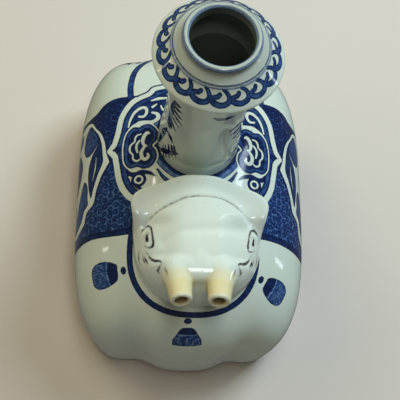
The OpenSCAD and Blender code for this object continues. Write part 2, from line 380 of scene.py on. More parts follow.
def net_faces(rows: int, cols: int, start: int = 0, loop: bool = False) -> list[tuple[int, int, int, int]]:
    """Quads of a net of points stored row by row.

    Args:
        rows: Rows of points.
        cols: Points in a row.
        start: Number of the first point.
        loop: Whether each row closes on itself.

    Returns:
        Corners of each quad.
    """
    span = cols if loop else cols - 1
    return [
        (start + i * cols + j, start + i * cols + (j + 1) % cols,
         start + (i + 1) * cols + (j + 1) % cols, start + (i + 1) * cols + j)
        for i in range(rows - 1)
        for j in range(span)
    ]


def tube(sections: Sequence[Path]) -> Solid:
    """Closes a row of sections into a solid.

    Args:
        sections: Closed sections with the same number of points.

    Returns:
        Points and faces, with both ends capped.
    """
    net = np.array(sections)
    rows, cols = net.shape[:2]
    faces: list[tuple[int, ...]] = list(net_faces(rows, cols, 0, True))
    faces += [tuple(range(cols))[::-1], tuple((rows - 1) * cols + j for j in range(cols))]
    return net.reshape(-1, 3), faces


def clay_roll(path: Path, radii: Sequence[float], sides: int = 24) -> Solid:
    """Closed round roll of clay along a path.

    Args:
        path: Points that the roll follows.
        radii: Radii spread along it.
        sides: Points around it.

    Returns:
        Points and faces.
    """
    line = smooth_path(path, 6)
    sizes = np.interp(np.linspace(0, 1, len(line)), np.linspace(0, 1, len(radii)), radii)
    ahead = np.gradient(line, axis=0)
    ahead /= np.linalg.norm(ahead, axis=1)[:, None]
    beside = np.cross(ahead, (0.0, 0.6, 0.8))
    beside = np.where(np.linalg.norm(beside, axis=1)[:, None] < 0.2, np.array((1.0, 0, 0)), beside)
    beside /= np.linalg.norm(beside, axis=1)[:, None]
    above = np.cross(beside, ahead)
    a = np.linspace(0, math.tau, sides, endpoint=False)[:, None]
    return tube([p + s * (np.cos(a) * b + np.sin(a) * u) for p, s, b, u in zip(line, sizes, beside, above)])


def evaluated_mesh(piece: bpy.types.Object) -> bpy.types.Mesh:
    """Works out a piece's modifiers and removes the piece itself.

    Args:
        piece: Piece with modifiers.

    Returns:
        Plain mesh.
    """
    graph = bpy.context.evaluated_depsgraph_get()
    mesh = bpy.data.meshes.new_from_object(piece.evaluated_get(graph))
    mesh.name = piece.name
    bpy.data.objects.remove(piece)
    return mesh


def settle(piece: bpy.types.Object, slot: str, material: bpy.types.Material, *nodes: str) -> None:
    """Dresses a finished piece, seats it on the body and lets it stand for its CAD nodes.

    Args:
        piece: Finished piece.
        slot: Material slot in the record; not used.
        material: Finish of the piece.
        nodes: CAD nodes that the piece stands for.
    """
    piece.data.materials.clear()
    piece.data.materials.append(material)
    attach(piece, "root")
    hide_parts(*nodes)
    LOG.info("%s: %d vertices for %s", piece.name, len(piece.data.vertices), ", ".join(nodes))


@dataclass(frozen=True)
class GlazedPorcelain:
    """Porcelain under a clear glaze: a cool white with a sharp shine, and pigment that lies below it."""

    name: str
    white: str = "#D0D8C8"
    cool: str = "#C4D2C9"
    drift_mm: float = 26.0
    speck: str = "#8E8B78"
    speck_mm: float = 15.0
    speck_span: tuple[float, float] = (0.04, 0.015)
    speck_share: float = 0.6
    # Colour of the painted shade in hollows; the head's and tusks' finishes set it to the ivory tint at the
    # tusk roots
    shade_and_stain_colour: str = "#2C3028"
    wash: str = "#7E94AE"
    middle: str = "#3A5A8C"
    middle_at: float = 0.38
    dark: str = "#143263"
    dark_at: float = 0.72
    deep: str = "#081B44"
    edge_mm: float = 0.16
    shake_mm: float = 1.4
    wobble_mm: float = 0.28
    pool_span_mm: tuple[float, float] = (-0.85, -0.2)
    pool_gain: float = 0.38
    brush_mm: float = 2.2
    brush_span: tuple[float, float] = (0.3, 0.7)
    brush_gain: float = 0.2
    diaper_mm: float = 4.0
    diaper_line: float = 0.15
    diaper_dot: tuple[float, float] = (0.12, 0.06)
    diaper_tone: float = 0.86
    diaper_pale: float = 0.46
    wander_mm: float = 5.0
    wander_reach: float = 1.9
    dry_mm: float = 2.6
    dry_span: tuple[float, float] = (0.36, 0.52)
    dry_least: float = 0.15
    ripple_mm: float = 7.0
    ripple_depth_mm: float = 0.6
    ripple_strength: float = 0.06
    roughness: float = 0.07
    ior: float = 1.5

    def material(self) -> bpy.types.Material:
        """Builds the finish.

        Returns:
            Material that reads the painted layers and the chart of a piece.
        """
        material = blank_material(self.name)
        tree = material.node_tree
        place = add(tree, "ShaderNodeTexCoord").outputs["Object"]
        ink, tone, zone, shade_and_stain = (
            add(tree, "ShaderNodeAttribute", attribute_name=layer).outputs["Fac"] for layer in PAINT_LAYERS)

        # The hand's unsteady edge and the uneven load of the brush
        shake = add(tree, "ShaderNodeTexNoise", {
            "Vector": place, "Scale": 1 / (self.shake_mm * MM), "Detail": 1.0})
        sway = add(tree, "ShaderNodeMath", {0: shake, 1: 0.5}, operation="SUBTRACT")
        moved = add(tree, "ShaderNodeMath", {0: sway, 1: self.wobble_mm, 2: ink}, operation="MULTIPLY_ADD")
        cover = add(tree, "ShaderNodeMapRange", {
            "Value": moved, "From Min": self.edge_mm, "From Max": -self.edge_mm},
            interpolation_type="SMOOTHSTEP")
        start, end = self.pool_span_mm
        pool = add(tree, "ShaderNodeMapRange", {
            "Value": moved, "From Min": start, "From Max": end, "To Max": self.pool_gain},
            interpolation_type="SMOOTHSTEP")
        load = add(tree, "ShaderNodeTexNoise", {
            "Vector": place, "Scale": 1 / (self.brush_mm * MM), "Detail": 4.0})
        start, end = self.brush_span
        uneven = add(tree, "ShaderNodeMapRange", {
            "Value": load, "From Min": start, "From Max": end, "To Min": -self.brush_gain,
            "To Max": self.brush_gain})
        pooled = add(tree, "ShaderNodeMath", {0: tone, 1: pool}, operation="ADD")
        brushed = add(tree, "ShaderNodeMath", {0: pooled, 1: uneven}, operation="ADD", use_clamp=True)

        # Diaper of six-sided cells, each with a dot, whose lines fade where the brush ran dry
        paled = add(tree, "ShaderNodeMath", {
            0: self.diaper_lines(tree), 1: -self.diaper_pale, 2: self.diaper_tone}, operation="MULTIPLY_ADD")
        loaded = add(tree, "ShaderNodeMath", {0: paled, 1: tone}, operation="ADD")
        worn = add(tree, "ShaderNodeMath", {0: loaded, 1: uneven}, operation="ADD", use_clamp=True)
        in_zone = add(tree, "ShaderNodeMapRange", {
            "Value": zone, "From Min": self.edge_mm, "From Max": -self.edge_mm},
            interpolation_type="SMOOTHSTEP")
        strength = add(tree, "ShaderNodeMix", {0: in_zone, 2: brushed, 3: worn})

        cobalt = add(tree, "ShaderNodeValToRGB", {"Fac": strength})
        stops = cobalt.color_ramp.elements
        stops[0].color, stops[1].color = linear(self.wash), linear(self.deep)
        for at, code in ((self.middle_at, self.middle), (self.dark_at, self.dark)):
            stops.new(at).color = linear(code)

        # Pooled glaze runs from warm white to cool, with a rare iron speck, and a darker mix over the pigment
        # paints shade into the hollows of the neck and lip; the head and tusks use the same mix for the ivory
        # tint at the tusk roots
        drift = add(tree, "ShaderNodeTexNoise", {
            "Vector": place, "Scale": 1 / (self.drift_mm * MM), "Detail": 3.0})
        glaze = add(tree, "ShaderNodeMix", {
            0: drift, 6: linear(self.white), 7: linear(self.cool)}, data_type="RGBA").outputs[2]
        cell = add(tree, "ShaderNodeTexVoronoi", {"Vector": place, "Scale": 1 / (self.speck_mm * MM)})
        start, end = self.speck_span
        dot = add(tree, "ShaderNodeMapRange", {
            "Value": cell.outputs["Distance"], "From Min": start, "From Max": end,
            "To Max": self.speck_share}, interpolation_type="SMOOTHSTEP")
        specked = add(tree, "ShaderNodeMix", {0: dot, 6: glaze, 7: linear(self.speck)}, data_type="RGBA")
        both = add(tree, "ShaderNodeMath", {0: cover, 1: in_zone}, operation="MAXIMUM")
        painted = add(tree, "ShaderNodeMix", {
            0: both, 6: specked.outputs[2], 7: cobalt.outputs["Color"]}, data_type="RGBA")
        colour = add(tree, "ShaderNodeMix", {
            0: shade_and_stain, 6: painted.outputs[2], 7: linear(self.shade_and_stain_colour)}, data_type="RGBA")

        # Soft unevenness of a glaze that ran while it melted
        ripple = add(tree, "ShaderNodeTexNoise", {
            "Vector": place, "Scale": 1 / (self.ripple_mm * MM), "Detail": 2.0})
        bump = add(tree, "ShaderNodeBump", {
            "Height": ripple, "Strength": self.ripple_strength, "Distance": self.ripple_depth_mm * MM})
        shader = add(tree, "ShaderNodeBsdfPrincipled", {
            "Base Color": colour.outputs[2], "Roughness": self.roughness, "IOR": self.ior, "Normal": bump})
        add(tree, "ShaderNodeOutputMaterial", {"Surface": shader})
        return material

    def diaper_lines(self, tree: bpy.types.NodeTree) -> bpy.types.NodeSocket:
        """Adds the nodes of the diaper.

        Args:
            tree: Material tree.

        Returns:
            Socket that is 1 on the pale lines and 0 between them.
        """
        chart = add(tree, "ShaderNodeAttribute", attribute_name="chart").outputs["Vector"]
        wander = add(tree, "ShaderNodeTexNoise", {
            "Vector": chart, "Scale": 1 / self.wander_mm, "Detail": 1.0})
        stray = add(tree, "ShaderNodeVectorMath", {
            0: wander.outputs["Color"], 1: (0.5, 0.5, 0.5)}, operation="SUBTRACT")
        drawn = add(tree, "ShaderNodeVectorMath", {
            0: stray, 1: (self.wander_reach, self.wander_reach, 0), 2: chart}, operation="MULTIPLY_ADD")
        cells = add(tree, "ShaderNodeVectorMath", {
            0: drawn, 1: (1 / self.diaper_mm, 1 / self.diaper_mm, 0)}, operation="MULTIPLY")

        # Two grids of upright cells, of which the nearer one's middle is the middle of the six-sided cell
        half = (math.sqrt(3) / 2, 0.5, 1.0)
        back = tuple(-h for h in half)
        corner = (half[0], half[1], 0)
        shifted = add(tree, "ShaderNodeVectorMath", {0: cells, 1: corner}, operation="SUBTRACT")
        even, odd = (
            add(tree, "ShaderNodeVectorMath", {0: grid, 1: half, 2: back}, operation="WRAP")
            for grid in (cells, shifted))
        even_r, odd_r = (
            add(tree, "ShaderNodeVectorMath", {0: grid}, operation="LENGTH").outputs["Value"]
            for grid in (even, odd))
        nearer = add(tree, "ShaderNodeMath", {0: even_r, 1: odd_r}, operation="GREATER_THAN")
        spot = add(tree, "ShaderNodeMix", {0: nearer, 4: even, 5: odd}, data_type="VECTOR").outputs[1]
        folded = add(tree, "ShaderNodeVectorMath", {0: spot}, operation="ABSOLUTE")
        slant = add(tree, "ShaderNodeVectorMath", {0: folded, 1: corner}, operation="DOT_PRODUCT")
        beside = add(tree, "ShaderNodeSeparateXYZ", {0: folded}).outputs["Y"]
        edge = add(tree, "ShaderNodeMath", {0: beside, 1: slant.outputs["Value"]}, operation="MAXIMUM")
        radius = add(tree, "ShaderNodeVectorMath", {0: spot}, operation="LENGTH").outputs["Value"]

        wall = add(tree, "ShaderNodeMapRange", {
            "Value": edge, "From Min": 0.5 - self.diaper_line, "From Max": 0.5 - self.diaper_line / 2})
        dry = add(tree, "ShaderNodeTexNoise", {"Vector": chart, "Scale": 1 / self.dry_mm, "Detail": 1.0})
        start, end = self.dry_span
        arm = add(tree, "ShaderNodeMapRange", {
            "Value": dry, "From Min": start, "From Max": end, "To Min": self.dry_least})
        start, end = self.diaper_dot
        dot = add(tree, "ShaderNodeMapRange", {"Value": radius, "From Min": start, "From Max": end})
        arms = add(tree, "ShaderNodeMath", {0: wall, 1: arm}, operation="MULTIPLY")
        return add(tree, "ShaderNodeMath", {0: arms, 1: dot}, operation="MAXIMUM").outputs[0]


@dataclass(frozen=True)
class Biscuit:
    """Unglazed fired clay: matt, sandy and slightly orange where it stood in the kiln."""

    clay: str = "#CBB99C"
    scorched: str = "#A98763"
    patch_mm: float = 30.0
    grit_mm: float = 0.6
    grit_depth_mm: float = 0.2
    grit_strength: float = 0.4
    roughness: float = 0.85

    def material(self) -> bpy.types.Material:
        """Builds the finish.

        Returns:
            The new material.
        """
        material = blank_material("unglazed_clay")
        tree = material.node_tree
        place = add(tree, "ShaderNodeTexCoord").outputs["Object"]
        patch = add(tree, "ShaderNodeTexNoise", {
            "Vector": place, "Scale": 1 / (self.patch_mm * MM), "Detail": 4.0})
        colour = add(tree, "ShaderNodeMix", {
            0: patch, 6: linear(self.clay), 7: linear(self.scorched)}, data_type="RGBA")

        # The sand in the clay, drawn a little coarser than it is so that it shows
        grit = add(tree, "ShaderNodeTexNoise", {
            "Vector": place, "Scale": 1 / (self.grit_mm * MM), "Detail": 2.0})
        bump = add(tree, "ShaderNodeBump", {
            "Height": grit, "Strength": self.grit_strength, "Distance": self.grit_depth_mm * MM})
        shader = add(tree, "ShaderNodeBsdfPrincipled", {
            "Base Color": colour.outputs[2], "Roughness": self.roughness, "Normal": bump})
        add(tree, "ShaderNodeOutputMaterial", {"Surface": shader})
        return material


PAINTED = GlazedPorcelain("painted_glaze").material()
# The head's glaze is the body's porcelain with a lighter white, painted lighter to stand in for the light on
# the head; its strokes are grey-black
FACE = GlazedPorcelain(
    "face_glaze", white="#DAE1D2", cool="#D0DED6", shade_and_stain_colour="#E0D9AE", wash="#A2A499", middle="#64625C",
    dark="#3A3836", deep="#222022", edge_mm=0.35, wobble_mm=0.4).material()
IVORY = GlazedPorcelain(
    "ivory_glaze", white="#DDD4A8", cool="#D6CC9C", speck="#B09A62", shade_and_stain_colour="#D6DECF", wash="#B08A48",
    middle="#8A5F2A", dark="#5A3A16", deep="#2E1C0A", edge_mm=0.5).material()
BISCUIT = Biscuit().material()


class Fringe(Enum):
    """Outline of a tassel: shares of its length and its half-width there."""

    ROUND = ((0.0, 0.06, 0.2, 0.4, 0.6, 0.8, 0.92, 1.0), (0.4, 0.6, 0.8, 0.95, 1.0, 0.92, 0.7, 0.4))
    SPREAD = ((0.0, 0.1, 0.35, 0.6, 0.9, 1.0), (0.3, 0.52, 0.74, 0.98, 1.0, 0.95))


@dataclass(frozen=True)
class Tassel:
    """One painted tassel: its bead in plan, the direction that it hangs, half-width, length and outline."""

    bead: tuple[float, float]
    way: tuple[float, float]
    half_w: float
    length: float
    fringe: Fringe


# Brushwork on the body: girth out from the midline and place along the body, in mm
SADDLE_CLOTH: Path = (
    (-20, 49), (10, 49), (26, 49), (38, 48.6), (48, 48.8), (56, 46.5), (62, 42.5), (72, 41), (88, 41),
    (112, 40), (112, 8), (112, -38), (90, -41), (70, -39.5), (57, -37.5), (45, -36), (33, -35.6), (10, -35.6),
    (-20, -36))
TOP_PANEL_REAR: Path = (
    (-12, 59), (0, 62), (10, 59.5), (20, 56.5), (25.5, 54.6), (28.5, 51), (33, 48.8), (37.5, 46),
    (41.5, 41.5), (45, 35), (47, 25.5), (48.8, 19.5))
TOP_PANEL_POINT = (52.5, 15)
TOP_PANEL_FRONT: Path = (
    (48.2, 10), (46.6, 2), (45, -5), (41.5, -12), (36.5, -17), (28, -21), (10, -24), (-12, -24))

# Bands inside the panel's edge: place and half-width in mm, and tone
TOP_PANEL_BANDS = ((-5.4, 1.75, 0.62), (-3.9, 0.5, 0.95), (-7.1, 0.35, 0.85))
POINT_SPUR = Stroke(((48.0, 15.0), (44.2, 14.8)), (1.2, 3.4))
FOOT_LEAF = Stroke(((22, 1), (18, -4.5), (12, -8.5), (5, -11)), (1.2, 2.4, 2.2, 1.4), 0.6)
FOOT_GAP = Stroke(((24.5, -0.5), (21, -5.5), (16, -10)), (0.6, 2.2, 2.4), steps=5)
SCROLL_GROUND: Path = (
    (12, 47), (20, 49), (26, 45), (32, 41.5), (37, 37), (39.5, 30), (38.5, 26.5), (33, 31), (25, 31),
    (20, 31), (12, 36))
SCROLL_LINES = (
    Stroke(((39, 28), (38, 32.3), (35.7, 36.9), (32, 39.8), (29.2, 39.6), (28.6, 36.5), (30.4, 34),
            (33, 34.2)), (0.9, 1.6, 1.9, 1.6, 1.3)),
    Stroke(((25.4, 36.4), (22.6, 35.4), (22.2, 32.6), (25, 30.3), (30, 29.9), (35.5, 28.7),
            (38.6, 25.6), (40.3, 22)), (1.4, 2.5, 1.9, 1.5, 1.3)),
    Stroke(((20.6, 41), (19.4, 38.4), (17, 38.4), (15.6, 41)), (0.9, 1.6, 1.4)),
    Stroke(((26, 44.6), (22, 46), (17.5, 46.6)), (0.8, 2.0, 1.2)),
    Stroke(((25.2, 40.2), (23, 42.2)), (1.6, 0.8)),
)
RINGED_LEAF = Stroke(
    ((39.2, 1.8), (37.2, -1.0), (34, -1.6), (30.5, -0.4), (26, -1.2), (22.8, -3.2)),
    (1.0, 2.6, 3.0, 2.8, 2.2, 0.8), 0.9)
RINGED_LEAF_TIP = Stroke(((33.5, -8.0), (31, -10.2), (28.0, -10.6)), (2.2, 1.6, 0.6), 0.9)
MEDALLION_LOBES: Path = (
    (-7.5, 11.5), (-4.5, 14.0), (-1.0, 13.2), (0.2, 12.2), (3.4, 12.4), (6.6, 8.8), (8.0, 3.2), (8.2, -2.6),
    (7.4, -9.2), (4.4, -12.8), (0.8, -12.2), (-2.4, -13.6), (-6.2, -12.2), (-8.6, -7.4), (-8.2, -2.8),
    (-6.4, 0.3), (-8.4, 3.4), (-9.0, 7.8))
MEDALLION_LINES = (
    Stroke(((-4.6, 8.0), (-3.6, 8.4), (-2.2, 6.2), (-1.6, 3.2), (-2.2, 0.9), (-3.6, 0.3)),
           (1.2, 2.0, 2.1, 1.7, 0.9)),
    Stroke(((-2.6, 0.0), (-1.0, -3.4), (-1.5, -6.6), (-3.0, -7.8), (-4.5, -6.4), (-4.2, -4.6)),
           (1.4, 2.1, 2.0, 1.7, 1.2)),
    Stroke(((0.0, 3.8), (1.3, 1.6), (1.5, -0.9), (0.9, -3.4)), (1.0, 1.4, 1.0)),
    Stroke(((-0.6, 7.8), (1.4, 7.0), (2.3, 5.0), (2.3, 3.4)), (0.8, 1.1, 0.9)),
    Stroke(((2.6, 3.2), (4.6, 1.0), (4.8, -2.2), (3.5, -4.2)), (0.9, 1.2, 0.9)),
    Stroke(((3.2, -4.6), (2.9, -7.4), (1.0, -8.6), (-0.4, -7.6)), (0.9, 1.1, 0.8)),
)
FLANK_POINT = (50.2, 8.5)
FLANK_REAR: Path = (
    (52.6, 14.5), (54.2, 22), (57, 28), (61.5, 33), (66, 38), (74, 38.5), (84, 36), (94, 30), (101, 20))
FLANK_LOW = (105, 6)
FLANK_FRONT: Path = (
    (101, -8), (95, -22), (89, -31), (81.5, -33), (75, -30.5), (69, -26.5), (67, -19), (61, -14.5),
    (59, -7), (55.6, 1))
FLANK_LEAVES = (
    (((67.5, 36), (62.8, 32.2), (60, 28.6), (59.2, 25), (61, 20.5), (65, 17.2), (70, 17), (74, 22),
      (73, 30)), 0.62),
    (((62.4, 31.8), (59, 27.6), (56.6, 21.8), (55.4, 15), (55, 9.2), (58.4, 2.6), (61.6, -5.4), (63.4, -10.4),
      (66, -4), (67.4, 4), (66.6, 11), (64, 16.4), (60.8, 20), (59.4, 24.4), (60.2, 28.6)), 0.85),
    (((72, 2), (68.5, 0), (66.8, -4.5), (66.8, -9), (66, -13.4), (69.6, -16.4), (72, -22.4), (76.6, -26.6),
      (81.4, -29), (86, -28), (84.5, -21), (80, -12), (76.5, -5)), 0.6),
    (((75, 12), (79, 20), (87, 24), (95, 21), (91, 12), (95, 2), (88, -3), (79, 3)), 0.85),
    (((77, 34.5), (85, 32.5), (92, 27), (85, 26.5), (78, 28)), 0.5),
    (((84, -10), (92, -6), (97, -12), (92, -23), (87.5, -24), (86.5, -17)), 0.6),
)
LEAF_VEINS = (
    Stroke(((60.3, 14), (60.9, 7), (62.8, 0)), (0.3, 0.9, 0.3)),
    Stroke(((82, 16), (87, 11), (86, 3)), (0.5, 1.2, 0.6)),
)

# Straps and tassels in plan, in mm, where the crupper strap is given for the right
CRUPPER: Path = ((37.6, 48.5), (37.8, 57), (35.6, 68), (30.5, 77), (22, 84), (11, 88.5), (0, 89.5))
REAR_TASSELS = tuple(
    Tassel((side.value * 33.5, 79.5), (side.value * 0.75, 0.66), 6.2, 14.0, Fringe.ROUND) for side in Side)
FRONT_TASSELS = (
    Tassel((-38.2, -54.7), (-0.995, -0.1), 7.2, 17.5, Fringe.ROUND),
    Tassel((35.4, -57.2), (0.885, -0.466), 6.8, 16.0, Fringe.ROUND),
    Tassel((-3.0, -79.1), (0.04, -1.0), 8.0, 12.6, Fringe.SPREAD),
)
BEAD = ((-1.5, -0.75, 0, 0.75, 1.5), (1.2, 2.8, 3.3, 2.8, 1.2))


@dataclass
class Body:
    """The two pressed halves of the hollow body, with the saddle, straps and tassels painted on them."""

    half_w: float = 66.0
    half_len: float = 95.0
    height: float = 85.0
    belly_z: float = 34.0
    foot_inset: float = 3.0
    wall: float = 4.5
    plan_power: float = 3.6
    dome_power: float = 2.4
    crease_depth: float = 4.5
    crease_turn: float = math.radians(73.5)
    crease_lean: float = math.radians(7.5)
    crease_spread: float = math.radians(7)
    crease_swell: float = 0.5
    crease_top: float = 76.0
    base_t: float = 5.0
    neck_y: float = 19.0
    hole_r: float = 22.3
    cols: int = 420
    skirt_rows: int = 40
    dome_rows: int = 150
    inner_skirt_rows: int = 3
    inner_dome_rows: int = 12
    rounds: int = 12
    left_slip: float = 4.0
    slip_girth: tuple[float, float] = (40.0, 70.0)
    slip_along: tuple[float, float] = (-12.0, -34.0)
    border_in: float = 1.3
    border_half: float = 1.5
    border_overlap: float = 0.4
    rear_load: float = 0.28
    rear_along: tuple[float, float] = (-5.0, 30.0)
    cloth_rear: float = 47.5
    foot_wash_r: float = 26.5
    foot_line_r: float = 23.0
    medallion: tuple[float, float] = (32.3, 15.0)
    medallion_stretch: tuple[float, float] = (1.14, 1.0)
    leaf_ring: tuple[float, float] = (32.2, -4.8)
    leaf_ring_r: float = 4.3
    leaf_eye_r: float = 2.1
    collar_middle: tuple[float, float] = (-1.3, -44.2)
    collar_half: tuple[float, float] = (34.0, 32.0)
    collar_power: float = 2.4
    collar_w: float = 3.3
    strap_w: float = 3.8

    def crease(self, turn: np.ndarray, z: np.ndarray) -> np.ndarray:
        """How far the creases between chest, legs and rump cut in.

        Args:
            turn: Bearings in radians.
            z: Heights in mm.

        Returns:
            Depth in mm.
        """
        lean = np.arcsin(np.clip(np.sin(turn), -1, 1))
        share = np.clip(z / self.crease_top, 0, 1)
        middle = self.crease_turn - self.crease_lean * share**3
        swell = 1 + self.crease_swell * np.sin(math.pi * share)
        return self.crease_depth * (1 - share**3) * swell * bell(np.abs(lean) - middle, self.crease_spread)

    def outline(self, turn: np.ndarray, z: np.ndarray, inset: float) -> np.ndarray:
        """Radius of the wall at a bearing and height.

        Args:
            turn: Bearings in radians.
            z: Heights in mm.
            inset: Distance inside the outer face.

        Returns:
            Radius in mm.
        """
        tuck = np.where(z < self.belly_z, self.foot_inset * (1 - z / self.belly_z) ** 2, 0)
        half_x, half_y = self.half_w - inset - tuck, self.half_len - inset - tuck
        return oval_r(turn, half_x, half_y, self.plan_power) - self.crease(turn, z)

    def back_z(self, x: np.ndarray, y: np.ndarray, inset: float = 0.0) -> np.ndarray:
        """Height of the back over a place in plan.

        Args:
            x: Places across.
            y: Places along.
            inset: Distance inside the outer face.

        Returns:
            Height in mm.
        """
        # The creases make the outline depend on the height, so the height is found in a few rounds
        turn, reach = np.arctan2(y, x), np.hypot(x, y)
        z = np.full(np.shape(reach), self.belly_z)
        for _ in range(self.rounds):
            share = np.clip(reach / self.outline(turn, z, inset), 0, 1)
            z = self.belly_z + (self.height - inset - self.belly_z) * arch(share, self.dome_power)
        return z

    def shell(self, cols: int, skirt: int, dome: int, inset: float) -> np.ndarray:
        """Net of points over the right half, from the foot up to the neck's hole.

        Args:
            cols: Points in each row, from chest to rump.
            skirt: Rows below the belly.
            dome: Rows above it.
            inset: Distance inside the outer face.

        Returns:
            Points as rows, columns and places.
        """
        turn = np.radians(np.linspace(-90, 90, cols))
        rows = []
        for z in np.linspace(self.base_t, self.belly_z, skirt, endpoint=False):
            r = self.outline(turn, np.full(cols, z), inset)
            rows.append(np.stack([r * np.cos(turn), r * np.sin(turn), np.full(cols, z)], -1))

        # Rows above the belly are evenly spaced along the curve of the dome
        share, rise = climb(np.linspace(0, math.pi / 2, 2000), self.dome_power)
        run, lift = np.diff(share) * (self.half_w - self.hole_r), np.diff(rise) * (self.height - self.belly_z)
        length = np.concatenate([[0], np.cumsum(np.hypot(run, lift))])
        belly = self.outline(turn, np.full(cols, self.belly_z), inset)
        for at in np.interp(np.linspace(0, length[-1], dome), length, share):
            r = mix(self.hole_r, belly, at)
            x, y = r * np.cos(turn), (1 - at) * self.neck_y + r * np.sin(turn)
            z = self.back_z(x, y, inset) if at < 1 else np.full(cols, self.belly_z)
            rows.append(np.stack([x, y, z], -1))
        net = np.array(rows)
        net[:, [0, -1], 0] = 0.0
        return net

    def half(self, side: Side) -> bpy.types.Object:
        """Builds one pressed half as a closed wall.

        Args:
            side: Which half.

        Returns:
            The piece, with its brushwork.
        """
        outer = self.shell(self.cols, self.skirt_rows, self.dome_rows, 0)
        inner = self.shell(self.cols, self.inner_skirt_rows, self.inner_dome_rows, self.wall)
        o_rows, i_rows, cols = len(outer), len(inner), self.cols
        start = o_rows * cols
        faces = net_faces(o_rows, cols)
        faces += [f[::-1] for f in net_faces(i_rows, cols, start)]
        for low, up in ((0, start), (start + (i_rows - 1) * cols, (o_rows - 1) * cols)):
            faces += [(up + j, up + j + 1, low + j + 1, low + j) for j in range(cols - 1)]
        for j in (0, cols - 1):
            front = [i * cols + j for i in range(o_rows)]
            back = [start + i * cols + j for i in range(i_rows)]
            ring = front + back[::-1]
            faces.append(tuple(ring[::-1] if j else ring))
        points = np.vstack([outer.reshape(-1, 3), inner.reshape(-1, 3)])
        points[:, 0] *= side.value
        if side is Side.LEFT:
            faces = [f[::-1] for f in faces]
        piece = new_piece(f"body_{side.name.lower()}_shell", points, faces)
        self.paint(points).store(piece, self.chart(points))
        return piece

    def chart(self, points: np.ndarray) -> np.ndarray:
        """Unrolls the flank: girth from the midline across, and the place along the body.

        Args:
            points: Places on the body, in mm.

        Returns:
            Girth and length of each place, in mm.
        """
        # Table of girths without the creases: a row for each mm along, a column for each step of lean
        steps = np.linspace(-self.half_len, self.half_len, int(2 * self.half_len) + 1)
        along = np.abs(steps) / self.half_len
        reach = self.half_w * arch(along, self.plan_power)
        lean = np.linspace(0, math.pi / 2, 241)
        x = reach[:, None] * np.sin(lean)
        share = (x / self.half_w) ** self.plan_power + along[:, None] ** self.plan_power
        share = np.minimum(1, share) ** (1 / self.plan_power)
        z = self.belly_z + (self.height - self.belly_z) * arch(share, self.dome_power)
        girth = np.zeros_like(x)
        girth[:, 1:] = np.cumsum(np.hypot(np.diff(x), np.diff(z)), axis=1)

        # Each point reads between the table's rows and columns, and the skirt hangs straight down
        row = np.clip(points[:, 1] + self.half_len, 0, len(steps) - 1.001)
        i = row.astype(int)
        span = np.maximum(np.interp(points[:, 1], steps, reach), 1e-3)
        col = np.arcsin(np.clip(np.abs(points[:, 0]) / span, 0, 1)) / lean[1]
        j = np.clip(col, 0, len(lean) - 1.001).astype(int)
        a, b = row - i, col - j
        across = mix(mix(girth[i, j], girth[i, j + 1], b), mix(girth[i + 1, j], girth[i + 1, j + 1], b), a)
        across += np.maximum(0, self.belly_z - points[:, 2])
        return np.stack([across, points[:, 1]], -1)

    def lift(self, path: Path) -> np.ndarray:
        """Lays plan points on the back of the body."""
        p = np.asarray(path, float)
        return np.column_stack([p[:, 0], p[:, 1], self.back_z(p[:, 0], p[:, 1])])

    def paint(self, points: np.ndarray) -> Canvas:
        """Paints the saddle cloth, its panels, the straps and the tassels.

        Args:
            points: Vertices in mm.

        Returns:
            The finished brushwork.
        """
        # The hand set the front of the saddle a little further back on the left flank
        spots = self.chart(points)
        slip = step(spots[:, 0], *self.slip_girth) * step(spots[:, 1], *self.slip_along) * (points[:, 0] < 0)
        spots[:, 1] -= self.left_slip * slip
        flat = Canvas(spots)
        self.paint_saddle(flat)
        self.paint_top_panel(flat)
        self.paint_medallion(flat)
        self.paint_flank(flat)
        space = Canvas(points)
        space.ink, space.tone, space.diaper = flat.ink, flat.tone, flat.diaper
        self.paint_straps(space)
        return space

    def paint_saddle(self, flat: Canvas) -> None:
        """Paints the saddle cloth's diaper, darker to the rear, and its dark border.

        Args:
            flat: Canvas in girth and length.
        """
        edge = area_distance(flat.spots, smooth_path(SADDLE_CLOTH, 6, True))
        flat.diaper = edge.copy()
        flat.tone = self.rear_load * step(flat.spots[:, 1], *self.rear_along) * (edge < 0)
        border = np.abs(edge + self.border_in) - self.border_half
        flat.fill(border, 0.92)
        flat.diaper = np.maximum(flat.diaper, -(border + self.border_overlap))

    def paint_top_panel(self, flat: Canvas) -> None:
        """Paints the pointed panel round the neck: white band, blue band, scrolls and leaves.

        Args:
            flat: Canvas in girth and length.
        """
        rear, front = smooth_path(TOP_PANEL_REAR, 6), smooth_path(TOP_PANEL_FRONT, 6)
        edge = area_distance(flat.spots, np.vstack([rear, [TOP_PANEL_POINT], front]))
        flat.spare(edge)
        behind_cloth = flat.spots[:, 1] > self.cloth_rear
        flat.fill(np.where(behind_cloth, np.abs(edge) - 0.5, FAR), 0.75)
        for middle, half, tone in TOP_PANEL_BANDS:
            flat.band(edge, middle, half, tone)
        flat.draw(POINT_SPUR)

        # Blue wash round the foot of the neck
        foot = np.hypot(flat.spots[:, 0], flat.spots[:, 1] - self.neck_y)
        flat.fill(foot - self.foot_wash_r, 0.3)
        flat.band(foot, self.foot_line_r, 0.9, 0.9)
        flat.draw(FOOT_LEAF)
        flat.scratch(FOOT_GAP)

        # Scrolls behind the medallion, white on blue
        flat.fill(area_distance(flat.spots, smooth_path(SCROLL_GROUND, 5, True)), 0.82)
        flat.scratch(*SCROLL_LINES)

    def paint_medallion(self, flat: Canvas) -> None:
        """Paints the lobed cloud-head medallion and the ringed leaf in front of it.

        Args:
            flat: Canvas in girth and length.
        """
        lobes = np.array(MEDALLION_LOBES) * self.medallion_stretch + self.medallion
        edge = area_distance(flat.spots, smooth_path(lobes, 5, True))
        flat.spare(edge - 0.8)
        flat.fill(edge, 0.58)
        flat.band(edge, -0.5, 0.5, 0.92)
        flat.fill(edge + 2.3, 1.0)
        flat.scratch(*(line.moved(self.medallion_stretch, self.medallion) for line in MEDALLION_LINES))

